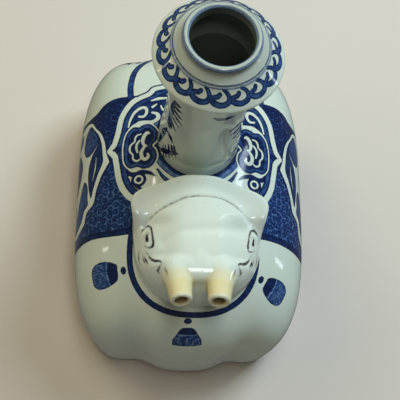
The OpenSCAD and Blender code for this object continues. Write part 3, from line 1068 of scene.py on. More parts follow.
        flat.draw(RINGED_LEAF)
        ring = np.linalg.norm(flat.spots - np.array(self.leaf_ring), axis=1)
        flat.fill(ring - self.leaf_ring_r, 0.9)
        flat.spare(np.abs(ring - self.leaf_eye_r) - 0.55)
        flat.draw(RINGED_LEAF_TIP)

    def paint_flank(self, flat: Canvas) -> None:
        """Paints the pointed panel on the flank and the broad leaves in it.

        Args:
            flat: Canvas in girth and length.
        """
        rear, front = smooth_path(FLANK_REAR, 6), smooth_path(FLANK_FRONT, 6)
        edge = area_distance(flat.spots, np.vstack([[FLANK_POINT], rear, [FLANK_LOW], front]))
        flat.spare(edge)
        flat.band(edge, 0.2, 0.4, 0.95)
        for path, tone in FLANK_LEAVES:
            leaf = area_distance(flat.spots, smooth_path(path, 5, True))
            flat.fill(leaf, tone)
            flat.band(leaf, -0.5, 0.5, min(1.0, tone + 0.3))
        flat.scratch(*LEAF_VEINS)

    def paint_straps(self, space: Canvas) -> None:
        """Paints the collar, the crupper straps, the beads and the tassels.

        Args:
            space: Canvas in space.
        """
        turn = np.radians(np.linspace(-205, 25, 70))
        reach = oval_r(turn, *self.collar_half, self.collar_power)
        ring = np.column_stack([reach * np.cos(turn), reach * np.sin(turn)]) + np.array(self.collar_middle)
        space.fill(stroke_distance(space.spots, self.lift(ring), self.collar_w), 0.9)
        for side, tassel in zip(Side, REAR_TASSELS):
            strap = smooth_path([(side.value * x, y) for x, y in CRUPPER], 6)
            space.fill(stroke_distance(space.spots, self.lift(strap), self.strap_w), 0.7)
            self.paint_tassel(space, tassel)
        for tassel in FRONT_TASSELS:
            self.paint_tassel(space, tassel)

    def paint_tassel(self, space: Canvas, tassel: Tassel, strands: float = 4.4) -> None:
        """Paints a bead and the tassel that hangs from it down the slope.

        Args:
            space: Canvas in space.
            tassel: Place, direction and size.
            strands: Strands of the fringe in its half-width.
        """
        start, way = np.array(tassel.bead), np.array(tassel.way)
        half_w, length = tassel.half_w, tassel.length
        bead, top = self.lift([start, start + 2.9 * way])
        across = np.array([-way[1], way[0], 0.0])
        space.fill(stroke_distance(space.spots, bead + np.outer(BEAD[0], across), BEAD[1]), 0.95)

        # Place of each vertex across and down the tassel, along the curve of the wall
        rel = space.spots - top
        run, u, fall = rel[:, :2] @ way, rel @ across, rel[:, 2]
        v = np.sign(run) * np.hypot(run, fall)
        near = (np.abs(v) < 2.5 * length) & (np.abs(u) < 3 * half_w)
        near &= (run > -3) & (fall < 4) & (space.spots[:, 2] > 12)
        share = np.clip(v / length, 0, 1)
        spread = half_w * np.interp(share, *tassel.fringe.value)
        sides = np.where(near, np.maximum(np.abs(u) - spread, -v), FAR)

        # Ragged fringe, dark head and the pale gap and strands between them
        bulge = u * u / half_w
        fan = u / (0.6 + 0.4 * share)
        ragged = 0.55 * np.abs(np.sin(fan * math.pi * strands / half_w))
        fringe = np.maximum(sides, v - length + 0.12 * bulge + ragged)
        space.fill(fringe, 0.62)
        neck = v - 0.36 * length + 0.14 * bulge
        space.fill(np.maximum(sides, neck), 1.0)
        space.tone = np.where((fringe < 0) & (neck > 0) & (neck < 0.7), 0.1, space.tone)
        for i in range(-int(strands), int(strands) + 1):
            line = np.where(v > 0.48 * length, np.abs(fan - i * half_w / strands) - 0.22, FAR)
            space.tone = np.where((line < 0) & (fringe < 0), 0.15, space.tone)

    def build(self) -> None:
        """Makes both halves."""
        for side in Side:
            settle(self.half(side), "painted_glaze", PAINTED, f"body_{side.name.lower()}")


@dataclass
class Lathe:
    """Geometry Nodes tree that turns a closed profile about an upright axis."""

    tree: bpy.types.NodeTree | None = None
    weld_mm: float = 0.002

    def build_tree(self) -> bpy.types.NodeTree:
        """Builds the tree.

        Returns:
            Tree with inputs for the rings along the profile, the segments around it and the finish.
        """
        tree = bpy.data.node_groups.new("turned_profile", "GeometryNodeTree")
        sockets = {"Profile": "Geometry", "Rings": "Int", "Segments": "Int", "Finish": "Material"}
        for name, kind in sockets.items():
            tree.interface.new_socket(name, in_out="INPUT", socket_type=f"NodeSocket{kind}")
        tree.interface.new_socket("Turned", in_out="OUTPUT", socket_type="NodeSocketGeometry")
        given = add(tree, "NodeGroupInput").outputs
        curve = add(tree, "GeometryNodeMeshToCurve", {0: given["Profile"]})
        grid = add(tree, "GeometryNodeMeshGrid", {
            "Size X": 1.0, "Size Y": 1.0, "Vertices X": given["Segments"], "Vertices Y": given["Rings"]})
        spot = add(tree, "ShaderNodeSeparateXYZ", {0: add(tree, "GeometryNodeInputPosition")})
        turn = add(tree, "ShaderNodeMath", {0: spot.outputs["X"], 1: math.tau}, operation="MULTIPLY")
        share = add(tree, "ShaderNodeMath", {0: spot.outputs["Y"], 1: 0.5}, operation="ADD", use_clamp=True)
        sample = add(tree, "GeometryNodeSampleCurve", {
            "Curves": curve, "Factor": share}, mode="FACTOR", use_all_curves=True)
        turned = add(tree, "ShaderNodeVectorRotate", {
            "Vector": sample.outputs["Position"], "Angle": turn}, rotation_type="Z_AXIS")
        moved = add(tree, "GeometryNodeSetPosition", {"Geometry": grid.outputs["Mesh"], "Position": turned})
        merged = add(tree, "GeometryNodeMergeByDistance", {"Geometry": moved, "Distance": self.weld_mm * MM})
        whole = add(tree, "GeometryNodeRealizeInstances", {0: merged})
        dressed = add(tree, "GeometryNodeSetMaterial", {"Geometry": whole, "Material": given["Finish"]})
        add(tree, "NodeGroupOutput", {0: dressed})
        return tree

    def turn(self, name: str, profile: Path, rings: int, segments: int, finish: bpy.types.Material,
             place: Matrix) -> bpy.types.Object:
        """Turns one piece.

        Args:
            name: Name of the piece.
            profile: Closed outline as radius and height, in mm.
            rings: Points along the profile.
            segments: Points around the axis.
            finish: Material of the piece.
            place: Where the axis stands, in metres.

        Returns:
            The turned piece as a plain mesh.
        """
        if self.tree is None:
            self.tree = self.build_tree()
        mesh = bpy.data.meshes.new(name)
        count = len(profile)
        edges = [(i, (i + 1) % count) for i in range(count)]
        mesh.from_pydata([(r * MM, 0, z * MM) for r, z in profile], edges, [])
        blank = bpy.data.objects.new(name, mesh)
        bpy.context.scene.collection.objects.link(blank)
        modifier = blank.modifiers.new("turned", "NODES")
        modifier.node_group = self.tree
        values = {"Rings": rings, "Segments": segments + 1, "Finish": finish}
        for item in self.tree.interface.items_tree:
            if item.in_out == "INPUT" and item.name in values:
                modifier[item.identifier] = values[item.name]
        turned = evaluated_mesh(blank)
        turned.transform(place)
        return link_mesh(name, turned)


def needle(root: tuple[float, float], tip: tuple[float, float], width: Sequence[float]) -> Stroke:
    """Needle of a spray, which bends a little between its root and its tip."""
    return Stroke((root, (mix(root[0], tip[0], 0.5), mix(root[1], tip[1], 0.45)), tip), width)


# One hook of the flange's running scroll, along the rim and out from the collar, in mm
SCROLL_HOOK = Stroke(
    ((-0.6, 4.2), (-1.5, 5.3), (-2.8, 5.3), (-3.7, 6.3), (-2.7, 8.0), (0.2, 8.9), (3.0, 8.1), (4.0, 6.0),
     (3.1, 3.7), (1.2, 2.1)), (2.4, 2.3, 2.0, 2.6, 2.9, 2.9, 2.8, 2.4, 2.1, 1.6), 0.6)

# Thin rings on the flange: radius and half-width in mm, and tone
FLANGE_RINGS = ((22.2, 0.28, -0.15), (23.1, 0.24, -0.25))

# Feathery sprays on the neck: bearing in degrees and height in mm
SPINES = (
    Stroke(((-150, 147), (-153, 138), (-155, 130), (-158, 119)), (1.6, 4.2, 4.2, 1.6)),
    Stroke(((-156, 114), (-162, 106), (-167, 97), (-171, 85)), (1.4, 4.0, 3.6, 1.2)),
    Stroke(((-153, 112.5), (-145, 111.5), (-138, 109)), (2.0, 3.4, 1.0)),
    Stroke(((-163, 85.5), (-143, 95.5), (-127, 103)), (2.0, 3.6, 2.0)),
    Stroke(((-32, 130), (-24, 120), (-18, 111)), (1.6, 3.0, 1.4)),
    Stroke(((-12, 100), (-16, 92), (-22, 85)), (1.4, 3.0, 1.4)),
    Stroke(((-89, 151), (-79, 149), (-66, 148.5), (-55, 148)), (0.8, 3.2, 2.6, 0.6)),
)
BROAD_NEEDLES = (
    ((-150, 146), (-136, 148)), ((-151, 142.5), (-133, 143.5)), ((-151, 139), (-131, 137.5)),
    ((-151.5, 135.5), (-129, 132)), ((-153, 131.5), (-133, 127.5)), ((-154, 127), (-138, 121.5)),
    ((-155.5, 123), (-145, 119.5)), ((-156, 120), (-151, 117.5)), ((-44.5, 132), (-58, 130.5)),
    ((-34.5, 125), (-54, 125.5)), ((-26, 117.5), (-47.5, 119)), ((-22, 111.5), (-36, 112.5)),
    ((-32, 130), (-45, 132)), ((-16, 92), (-51, 94.5)), ((-19, 88), (-40, 88.5)), ((-14, 97), (-40, 100)),
)
FINE_NEEDLES = (
    ((-162, 90), (-156, 81)), ((-154, 95.5), (-147, 84.5)), ((-149.5, 99), (-143, 89)),
    ((-144, 103.5), (-137, 91.5)), ((-138, 106), (-133, 95.5)), ((-134, 107.5), (-127.5, 98.5)),
)
NECK_SPRAYS = (
    *SPINES,
    *(needle(*ends, (2.4, 3.0, 0.7)) for ends in BROAD_NEEDLES),
    *(needle(*ends, (1.2, 1.9, 0.6)) for ends in FINE_NEEDLES),
)


@dataclass
class Neck:
    """The thrown neck with its flange, collar and rolled lip."""

    lathe: Lathe
    body: Body
    neck_top: float = 167.0
    base_r: float = 22.2
    waist_r: float = 20.4
    waist_share: float = 0.55
    wall: float = 3.6
    fillet: float = 0.9
    fillet_rise: float = 2.4
    flange_r: float = 31.0
    hollow_r: float = 22.6
    edge_z: float = 175.4
    edge_round: float = 1.1
    under_power: float = 1.6
    cone_top: float = 185.4
    cone_dip: float = 0.3
    collar_r: float = 21.8
    mouth_r: float = 15.2
    mouth_top: float = 191.6
    lip_t: float = 3.2
    curls: int = 18
    scroll_r: float = 26.0
    scroll_slope: float = 1.36
    foot_line_z: float = 84.4
    # Strength of the painted shade inside the neck's bore
    bore_shade: float = 0.7
    # Strength of the painted shade inside the mouth
    mouth_shade: float = 0.75

    def turn(self, name: str, profile: Path, rings: int, segments: int) -> bpy.types.Object:
        """Turns one piece about the neck's axis, with points along its profile and around it."""
        place = Matrix.Translation((0, self.body.neck_y * MM, 0))
        return self.lathe.turn(name, profile, rings, segments, PAINTED, place)

    def tube_profile(self) -> list[tuple[float, float]]:
        """Draws the neck's wall, from its let-in foot to its top.

        Returns:
            Closed outline as radius and height, in mm.
        """
        foot = self.body.height - self.body.wall
        heights = np.linspace(foot, self.neck_top, 60)
        share = (heights - self.body.height) / (self.neck_top - self.body.height)
        reach = mix(self.base_r, self.waist_r, ease(share / self.waist_share))
        outer = reach + self.fillet * np.exp(-(heights - foot) / self.fillet_rise)
        return list(zip(outer, heights)) + list(zip(reach - self.wall, heights))[::-1]

    def flange_profile(self) -> list[tuple[float, float]]:
        """Draws the flange: dished underside, rounded edge, rising cone and hollow.

        Returns:
            Closed outline as radius and height, in mm.
        """
        s = np.linspace(0, 1, 16)
        under = zip(mix(self.waist_r, self.flange_r - self.edge_round, s),
                    mix(self.neck_top, self.edge_z - self.edge_round, s**self.under_power))
        turn = np.radians(np.linspace(-60, 40, 9))
        edge = zip(self.flange_r + self.edge_round * (np.cos(turn) - 1),
                   self.edge_z + self.edge_round * np.sin(turn))
        cone = zip(mix(self.flange_r - self.edge_round / 2, self.collar_r, s),
                   mix(self.edge_z + self.edge_round, self.cone_top, s) - self.cone_dip * np.sin(math.pi * s))
        hollow = [(self.mouth_r, self.cone_top), (self.hollow_r, self.edge_z + 2),
                  (self.hollow_r, self.edge_z - 1), (self.waist_r - self.wall, self.neck_top)]
        return list(under) + list(edge) + list(cone) + hollow

    def lip_profile(self) -> list[tuple[float, float]]:
        """Draws the hollowed collar and the rolled lip.

        Returns:
            Closed outline as radius and height, in mm.
        """
        s = np.linspace(0, 1, 14)
        lip_r = self.lip_t / 2
        lip_z = self.mouth_top - lip_r
        collar = zip(mix(self.collar_r, self.mouth_r + self.lip_t - 0.5, np.sin(s * math.pi / 2)),
                     mix(self.cone_top, lip_z - 0.8, s))
        turn = np.radians(np.linspace(-30, 180, 16))
        roll = zip(self.mouth_r + lip_r * (1 + np.cos(turn)), lip_z + lip_r * np.sin(turn))
        return list(collar) + list(roll) + [(self.mouth_r, self.cone_top)]

    def polar(self, piece: bpy.types.Object) -> tuple[np.ndarray, np.ndarray, np.ndarray]:
        """Measures a piece about the neck's axis.

        Args:
            piece: Turned piece.

        Returns:
            Bearing in radians, radius and height in mm of each vertex.
        """
        x, y, z = (vertex_places(piece.data) / MM).T
        y = y - self.body.neck_y
        return np.arctan2(y, x), np.hypot(x, y), z

    def paint_flange(self, piece: bpy.types.Object) -> None:
        """Paints the running scroll and two thin rings, and paints shade into the hollow and on the cone just
        round the lip's foot.

        Args:
            piece: The flange.
        """
        turn, r, z = self.polar(piece)
        pitch = math.tau / self.curls
        around = (np.mod(turn + math.pi, pitch) - pitch / 2) * self.scroll_r
        top = (z > self.edge_z + 0.5) & (r > self.mouth_r + 3)
        slant = np.where(top, (r - self.collar_r) * self.scroll_slope, -FAR)
        canvas = Canvas(np.column_stack([around, slant]))
        for way in (-1, 0, 1):
            canvas.draw(SCROLL_HOOK.moved((1, 1), (way * pitch * self.scroll_r, 0)))
        for ring_r, half, tone in FLANGE_RINGS:
            canvas.fill(np.where(top, np.abs(r - ring_r) - half, FAR), tone)
        # Painted shade inside the mouth's hollow, and on the cone next to the lip where the lip shades it
        below = z < self.cone_top - 1.5 - np.maximum(0, r - self.mouth_r)
        hidden = below & (r < self.hollow_r + 0.2) & ((r < 19) | (z > self.neck_top + 2))
        collar_shade = 0.45 * (1 - step(r - self.mouth_r, 6.5, 9.5))
        canvas.shade_and_stain = np.where(hidden, self.mouth_shade, collar_shade)
        canvas.store(piece)

    def paint_tube(self, piece: bpy.types.Object) -> None:
        """Paints the feathery sprays and the line round the foot, and paints shade into the bore and just
        above the foot line.

        Args:
            piece: The neck.
        """
        turn, r, z = self.polar(piece)
        outside = r > self.waist_r - 1.5
        arc = math.radians(1) * self.waist_r
        around = np.where(outside, np.degrees(turn) * arc, OFF_CHART)
        canvas = Canvas(np.column_stack([around, z]))
        for half_turn in (0, 180):
            canvas.draw(*(spray.moved((arc, 1), (half_turn * arc, 0)) for spray in NECK_SPRAYS))
        canvas.fill(np.where(outside, np.abs(z - self.foot_line_z) - 1.2, FAR), 0.9)
        # Painted shade fading up from the foot of the neck, and painted shade in the bore
        foot_shade = 0.35 * np.exp(-np.maximum(0, z - self.foot_line_z - 0.1) / 2.5)
        canvas.shade_and_stain = np.where(outside, foot_shade, self.bore_shade)
        canvas.store(piece)

    def paint_lip(self, piece: bpy.types.Object) -> None:
        """Paints the grey-blue edges of the lip, greys the rest of it, and paints shade into the mouth below
        it and a shadow in the groove under the roll.

        Args:
            piece: The lip.
        """
        turn, r, z = self.polar(piece)
        out, down = r - self.mouth_r, self.mouth_top - z
        canvas = Canvas(np.column_stack([turn * 18, z]))
        for middle, half in ((2.8 + 0.15 * np.sin(3 * turn), 0.55), (0.3, 0.6)):
            canvas.fill(np.where(down < 2.4, np.abs(out - middle) - half, FAR), -0.3)
        # Painted shadow in the groove under the roll, the outside of the lip greyed all over, and painted
        # shade in the mouth below the rim
        under = 0.45 * bell(out - 3.1, 1.1) * step(down, 2.0, 3.5)
        canvas.shade_and_stain = np.where(out < 0.6, self.mouth_shade * step(down, 1.0, 2.6), np.maximum(under, 0.32))
        canvas.store(piece)

    def build(self) -> None:
        """Makes the neck, the flange and the lip."""
        tube = self.turn("neck_wall", self.tube_profile(), 260, 280)
        self.paint_tube(tube)
        settle(tube, "painted_glaze", PAINTED, "neck_tube")
        flange = self.turn("mouth_flange_wall", self.flange_profile(), 180, 440)
        self.paint_flange(flange)
        settle(flange, "painted_glaze", PAINTED, "mouth_flange")
        lip = self.turn("mouth_rolled_lip", self.lip_profile(), 90, 240)
        self.paint_lip(lip)
        settle(lip, "plain_glaze", PAINTED, "mouth_lip")


# Brushwork on the head: across and along in plan, in mm, where the eyes and the cheeks are given for the left
BROW_FOLD = Stroke(
    ((-29, -37), (-26, -33.5), (-21, -29.2), (-15.5, -26), (-8, -22.2), (0.4, -20.8), (10, -21.6),
     (17, -24.8), (22.5, -29.2), (26.5, -33.6)), (0.8, 1.3, 1.3, 1.1, 1.3, 0.8), -0.2)
FACE_FOLD: Path = ((-18.8, -46.6), (-14.3, -44.1), (-10.2, -41.6), (0.2, -40.1), (10.7, -39.3), (21.6, -39.2))
EYE_LINES = (
    Stroke(((-31, -41.4), (-29.8, -39.0), (-27.6, -37.0), (-25.6, -38.1), (-24.6, -42.8), (-24.2, -47.8),
            (-26.6, -48.6), (-28.6, -46.8), (-29.1, -43.5)),
           (0.7, 1.2, 1.6, 1.5, 1.4, 1.8, 1.3, 1.0, 0.7), 0.45),
    Stroke([(-27.5 + 1.5 * math.cos(a), -43.2 + 3.0 * math.sin(a)) for a in np.linspace(0.4, 5.6, 9)],
           (0.8, 0.9, 0.8), 0.05),
    Stroke(((-27.6, -42.0), (-27.4, -44.4)), (1.8, 2.4), 1.0),
)
CHEEK_LINES = tuple(Stroke(path, (1.0, 2.0, 1.0), tone) for path, tone in (
    (((-28.2, -49.5), (-25.8, -53.6), (-23.4, -55.8), (-20.6, -56.4), (-19.4, -58.4)), 0.35),
    (((-28.9, -52), (-27.6, -54.8), (-26.2, -57.4)), 0.5),
    (((-29.9, -50), (-28.9, -54.2), (-26.6, -58.8)), 0.2),
    (((-20, -58), (-21.2, -60), (-21.4, -61.8), (-19.4, -63.6)), 0.4),
    (((-18.6, -60.2), (-17.4, -63.2), (-16.6, -65.8)), 0.3),
    (((-31, -46), (-31.5, -52), (-29, -60)), 0.0),
))

# Rolls of clay luted to the head, as points and radii in mm; a tusk's root is given along its axis
BRIDGE_ROLL = (((0, -46, 95.5), (0, -52, 95.6), (0, -57, 95.2), (0, -60, 93.5)), (6.5, 7.6, 7.8, 6.5))
BAR_ROLL = (((-12, -57.6, 0), (-6, -57.6, 0), (0, -57.6, 0), (6, -57.6, 0), (12, -57.6, 0)), (9.4, 9.4))
TRUNK_ROLL = (
    ((0, -62, 93), (0, -66.2, 89), (0, -68, 84.5), (0, -68.6, 79), (0, -68.6, 74), (0, -68, 70)),
    (3.4, 3.8, 4.0, 4.2, 4.6, 5.0))
TUSK_ROOT = ((-9, -5, -1.5, 1.5, 4, 7), (9.8, 9.6, 9.0, 8.0, 7.1, 6.1))


@dataclass
class Head:
    """The pressed head with its ears and trunk, luted and smoothed into one, and the two bored tusks."""

    lathe: Lathe
    body: Body
    half_w: float = 33.5
    half_len: float = 30.5
    middle_y: float = -41.7
    floor_z: float = 76.0
    top: float = 104.0
    fall: float = math.radians(1)
    plan_power: float = 2.3
    crown_power: float = 3.0
    ear_t: float = 3.0
    ear_tip: float = 3.5
    ear_tip_turn: float = 30.0
    ear_tip_spread: float = 13.0
    ear_hollow: float = 1.3
    ear_hollow_turn: float = 57.0
    ear_front: float = -2.0
    ear_taper: float = 30.0
    ear_drop: float = 4.0
    brow_climb: float = 56.0
    cheek_climb: float = 38.0
    brow_turn: float = 50.0
    tusk_x: float = 11.0
    tusk_y: float = -62.7
    tusk_z: float = 95.0
    tusk_lift: float = math.radians(19)
    tusk_toe: float = math.radians(6)
    tusk_len: float = 16.0
    tusk_in: float = 4.0
    tusk_root_r: float = 7.4
    tusk_tip_r: float = 5.7
    tusk_tip_round: float = 1.6
    tusk_power: float = 0.9
    bore_r: float = 3.0
    bridge_w: float = 1.4
    bar_flat: float = 0.7
    bar_z: float = 96.2
    temple_fall: float = 2.6
    temple_across: tuple[float, float] = (8.0, 22.0)
    temple_rear: tuple[float, float] = (-30.0, -38.0)
    temple_front: tuple[float, float] = (-52.0, -59.0)
    temple_z: tuple[float, float] = (84.0, 92.0)
    brow_groove: tuple[float, float] = (0.9, 1.3)
    face_groove: tuple[float, float] = (0.6, 2.6)
    seam_groove: tuple[float, float] = (0.1, 0.9)
    seam_z: float = 90.0
    eye_shift: tuple[float, float] = (0.0, 1.2)
    sunk: float = 3.0
    voxel: float = 0.62
    soften: float = 0.5
    soften_times: int = 15

    def skin(self, turn: np.ndarray, quarter: np.ndarray, inset: float = 0.0) -> np.ndarray:
        """Points of the head's dome.

        Args:
            turn: Bearings in radians about the head's middle.
            quarter: Climbs in radians.
            inset: Distance inside the outer face.

        Returns:
            Points in mm.
        """
        share, rise = climb(quarter, self.crown_power)
        r = oval_r(turn, self.half_w - inset, self.half_len - inset, self.plan_power)
        foot = self.body.back_z(r * np.cos(turn), self.middle_y + r * np.sin(turn))
        y = self.middle_y + share * r * np.sin(turn)
        face = self.top + (y - self.middle_y - self.half_len) * math.tan(self.fall)
        return np.stack([share * r * np.cos(turn), y, mix(foot, face - inset, rise)], -1)

    def dome(self) -> Solid:
        """Builds the closed dome of the head, sunk a little into the back.

        Returns:
            Points and faces.
        """
        turn = np.radians(np.arange(0, 360, 2.5))
        rows = [self.skin(turn, np.full(len(turn), q)) for q in np.radians(np.linspace(0, 88, 30))]
        low = rows[0].copy()
        low[:, 2] -= self.sunk + 2
        net = np.array([low] + rows)
        ends = [[0, self.middle_y, self.floor_z], [0, self.middle_y, rows[-1][:, 2].max() + 0.05]]
        points = np.vstack([net.reshape(-1, 3), ends])
        cols, last = len(turn), len(net) - 1
        faces: list[tuple[int, ...]] = list(net_faces(len(net), cols, 0, True))
        bottom, apex = len(points) - 2, len(points) - 1
        faces += [(bottom, (j + 1) % cols, j) for j in range(cols)]
        faces += [(apex, last * cols + j, last * cols + (j + 1) % cols) for j in range(cols)]
        return points, faces

    def ear_section(self, degrees: float) -> list[tuple[float, float, float]]:
        """Section through the ears at a bearing.

        Args:
            degrees: Bearing about the head's middle, from the right cheek round the nape to the left.

        Returns:
            Points of the closed section, in mm.
        """
        fold = min(degrees, 180 - degrees)
        a = np.array([math.radians(degrees)])
        full = float(step(fold, self.ear_front, self.ear_front + self.ear_taper))
        reach = oval_r(a, self.half_w + self.ear_t, self.half_len + self.ear_t, self.plan_power)[0]
        reach -= self.ear_hollow * bell(fold - self.ear_hollow_turn, self.ear_tip_spread)
        tip = reach + self.ear_tip * bell(fold - self.ear_tip_turn, self.ear_tip_spread)
        raised = float(step(fold, self.ear_front, self.ear_front + self.brow_turn))
        quarter = math.radians(mix(self.cheek_climb, self.brow_climb, raised))
        x, y, crease_z = self.skin(a, np.array([quarter]))[0]
        crease_r = math.hypot(x, y - self.middle_y)
        foot = float(self.body.back_z(reach * np.cos(a), self.middle_y + reach * np.sin(a))[0])
        rim = self.top - self.ear_drop
        outline = [
            (reach - 0.4, foot - self.sunk), (mix(reach, tip, 0.2), mix(foot, rim, 0.45)),
            (mix(reach, tip, 0.7), mix(foot, rim, 0.8)), (tip + 0.2, rim - 1.0), (tip - 0.5, rim + 0.3),
            (tip - 1.8, rim + 0.2), (mix(tip - 1.8, crease_r, 0.5), mix(rim, crease_z, 0.5) - 1.1),
            (crease_r + 0.8, crease_z - 1.6)]

        # Towards the cheeks the ear thins out on the skin of the head
        section = []
        for i, (r, z) in enumerate(outline):
            x, y, low_z = self.skin(a, np.array([quarter * i / 7]), -0.25)[0]
            low_r = math.hypot(x, y - self.middle_y)
            section.append((mix(low_r, r, full), mix(low_z - (0 if i else self.sunk), z, full)))
        section += [(crease_r - 4, crease_z - 6), (crease_r - 4, foot - self.sunk)]
        return [(r * math.cos(a[0]), self.middle_y + r * math.sin(a[0]), z) for r, z in section]

    def ears(self) -> Solid:
        """Both ears as one loop of sections laid round the nape from cheek to cheek."""
        return tube([self.ear_section(t) for t in np.linspace(self.ear_front, 180 - self.ear_front, 120)])

    def tusk_root(self, side: Side) -> np.ndarray:
        """Place where a tusk leaves the head."""
        return np.array([side.value * self.tusk_x, self.tusk_y, self.tusk_z])

    def tusk_axis(self, side: Side) -> np.ndarray:
        """Direction that a tusk points.

        Args:
            side: Which tusk.

        Returns:
            Unit vector.
        """
        level = math.cos(self.tusk_lift)
        across = -side.value * level * math.sin(self.tusk_toe)
        return np.array([across, -level * math.cos(self.tusk_toe), math.sin(self.tusk_lift)])

    def beside_tusk(self, spots: np.ndarray, side: Side) -> tuple[np.ndarray, np.ndarray]:
        """Measures places about a tusk.

        Args:
            spots: Places in mm.
            side: Which tusk.

        Returns:
            Distance along the axis from the tusk's root, and out from the axis, in mm.
        """
        rel = spots - self.tusk_root(side)
        along = rel @ self.tusk_axis(side)
        return along, np.linalg.norm(rel - along[:, None] * self.tusk_axis(side), axis=1)

    def fused(self) -> bpy.types.Object:
        """Joins dome, ears, trunk and tusk roots and softens the joints as slip and glaze do.

        Returns:
            The head as one closed piece.
        """
        bridge, sides = clay_roll(*BRIDGE_ROLL)
        bridge[:, 0] *= self.bridge_w
        bar, ends = clay_roll(*BAR_ROLL)
        bar[:, 2] = bar[:, 2] * self.bar_flat + self.bar_z
        parts = [self.dome(), self.ears(), (bridge, sides), (bar, ends), clay_roll(*TRUNK_ROLL)]
        for side in Side:
            path = [tuple(self.tusk_root(side) + self.tusk_axis(side) * at) for at in TUSK_ROOT[0]]
            parts.append(clay_roll(path, TUSK_ROOT[1]))
        points, faces, start = [], [], 0
        for spots, corners in parts:
            points.append(spots)
            faces += [tuple(start + c for c in face) for face in corners]
            start += len(spots)
        piece = new_piece("head_shell", np.vstack(points), faces)
        remesh = piece.modifiers.new("luted", "REMESH")
        remesh.mode = "VOXEL"
        remesh.voxel_size = self.voxel * MM
        soften = piece.modifiers.new("glazed_over", "SMOOTH")
        soften.factor = self.soften
        soften.iterations = self.soften_times
        piece = link_mesh("head_shell", evaluated_mesh(piece))
        self.carve(piece)
        return piece

    def carve(self, piece: bpy.types.Object) -> None:
        """Sinks the temples, the folds of the brow and the face, and the seam.

        Args:
            piece: The fused head.
        """
        p = vertex_places(piece.data) / MM
        x, y, z = p.T
        between = step(y, *self.temple_rear) * (1 - step(y, *self.temple_front))
        p[:, 2] -= self.temple_fall * step(np.abs(x), *self.temple_across) * between * step(z, *self.temple_z)
        for path, (depth, spread) in ((BROW_FOLD.path, self.brow_groove), (FACE_FOLD, self.face_groove)):
            gap = np.maximum(0, stroke_distance(p, self.lifted(p, path), 0.0))
            p[:, 2] -= depth * bell(gap, spread)
        depth, spread = self.seam_groove
        p[:, 2] -= np.where(p[:, 2] > self.seam_z, depth * bell(p[:, 0], spread), 0)
        piece.data.vertices.foreach_set("co", (p * MM).ravel())
        piece.data.update()

    def paint(self, piece: bpy.types.Object) -> None:
        """Paints the eyes, the thin strokes on the cheeks and the grey line where the brow is folded.

        Args:
            piece: The fused head.
        """
        canvas = Canvas(vertex_places(piece.data) / MM)
        self.line(canvas, BROW_FOLD)
        for side, shift in zip(Side, self.eye_shift):
            mirror = (-side.value, 1)
            for stroke in EYE_LINES:
                self.line(canvas, stroke.moved(mirror, (side.value * shift, 0)))
            for stroke in CHEEK_LINES:
                self.line(canvas, stroke.moved(mirror, (0, 0)))
            along, radius = self.beside_tusk(canvas.spots, side)
            root = 0.75 * step(along, -3.0, 4.0) * (1 - step(radius, 7.6, 10.0))
            canvas.shade_and_stain = np.maximum(canvas.shade_and_stain, root)
        canvas.store(piece)

    def line(self, canvas: Canvas, stroke: Stroke) -> None:
        """Lays a stroke on the head along plan points."""
        path = self.lifted(canvas.spots, stroke.path)
        canvas.fill(stroke_distance(canvas.spots, path, stroke.width), stroke.tone)

    def lifted(self, spots: np.ndarray, path: Path) -> np.ndarray:
        """Lays a smooth line of plan points on the top of the head.

        Args:
            spots: Vertices of the head in mm.
            path: Plan points that the line passes through.

        Returns:
            Points along the line, in space.
        """
        line = []
        for x, y in smooth_path(path, 5):
            gap = (spots[:, 0] - x) ** 2 + (spots[:, 1] - y) ** 2
            line.append((x, y, spots[gap < max(1.0, gap.min() + 0.2), 2].max()))
        return np.array(line)

    def tusk(self, side: Side) -> bpy.types.Object:
        """Builds one bored tusk with a rounded tip.

        Args:
            side: Which tusk.

        Returns:
            The piece, with the inside of its bore tinted darker.
        """
        s = np.linspace(0, 1, 24)
        neck = self.tusk_len - self.tusk_tip_round
        wall = list(zip(mix(self.tusk_root_r, self.tusk_tip_r, s**self.tusk_power), mix(0, neck, s)))
        turn = np.radians(np.linspace(0, 180, 12))
        half = (self.tusk_tip_r - self.bore_r) / 2
        tip = list(zip(self.bore_r + half + half * np.cos(turn), neck + self.tusk_tip_round * np.sin(turn)))
        profile = [(self.bore_r, -self.tusk_in), (self.tusk_root_r, -self.tusk_in)] + wall + tip
        axis = Vector(self.tusk_axis(side)).to_track_quat("Z", "Y").to_matrix().to_4x4()
        place = Matrix.Translation(Vector(self.tusk_root(side)) * MM) @ axis
        piece = self.lathe.turn(f"tusk_{side.name.lower()}_spout", profile, 110, 120, IVORY, place)
        along, radius = self.beside_tusk(vertex_places(piece.data) / MM, side)
        canvas = Canvas(np.column_stack([radius, along]))
        canvas.fill(np.maximum(radius - self.bore_r - 0.02, along - self.tusk_len + 1.0), 0.2)
        rim = np.where(radius > self.bore_r + 0.5, 0.6 * step(along - self.tusk_len, -2.4, -0.8), 0)
        canvas.shade_and_stain = np.maximum(0.5 * (1 - step(along, 3.0, 8.0)), rim)
        canvas.store(piece)
        return piece

    def build(self) -> None:
        """Makes the head and both tusks."""
        head = self.fused()
        self.paint(head)
        settle(head, "plain_glaze", FACE, "head_left", "head_right", "ear_left", "ear_right", "trunk")
        for side in Side:
            settle(self.tusk(side), "ivory_glaze", IVORY, f"tusk_{side.name.lower()}")


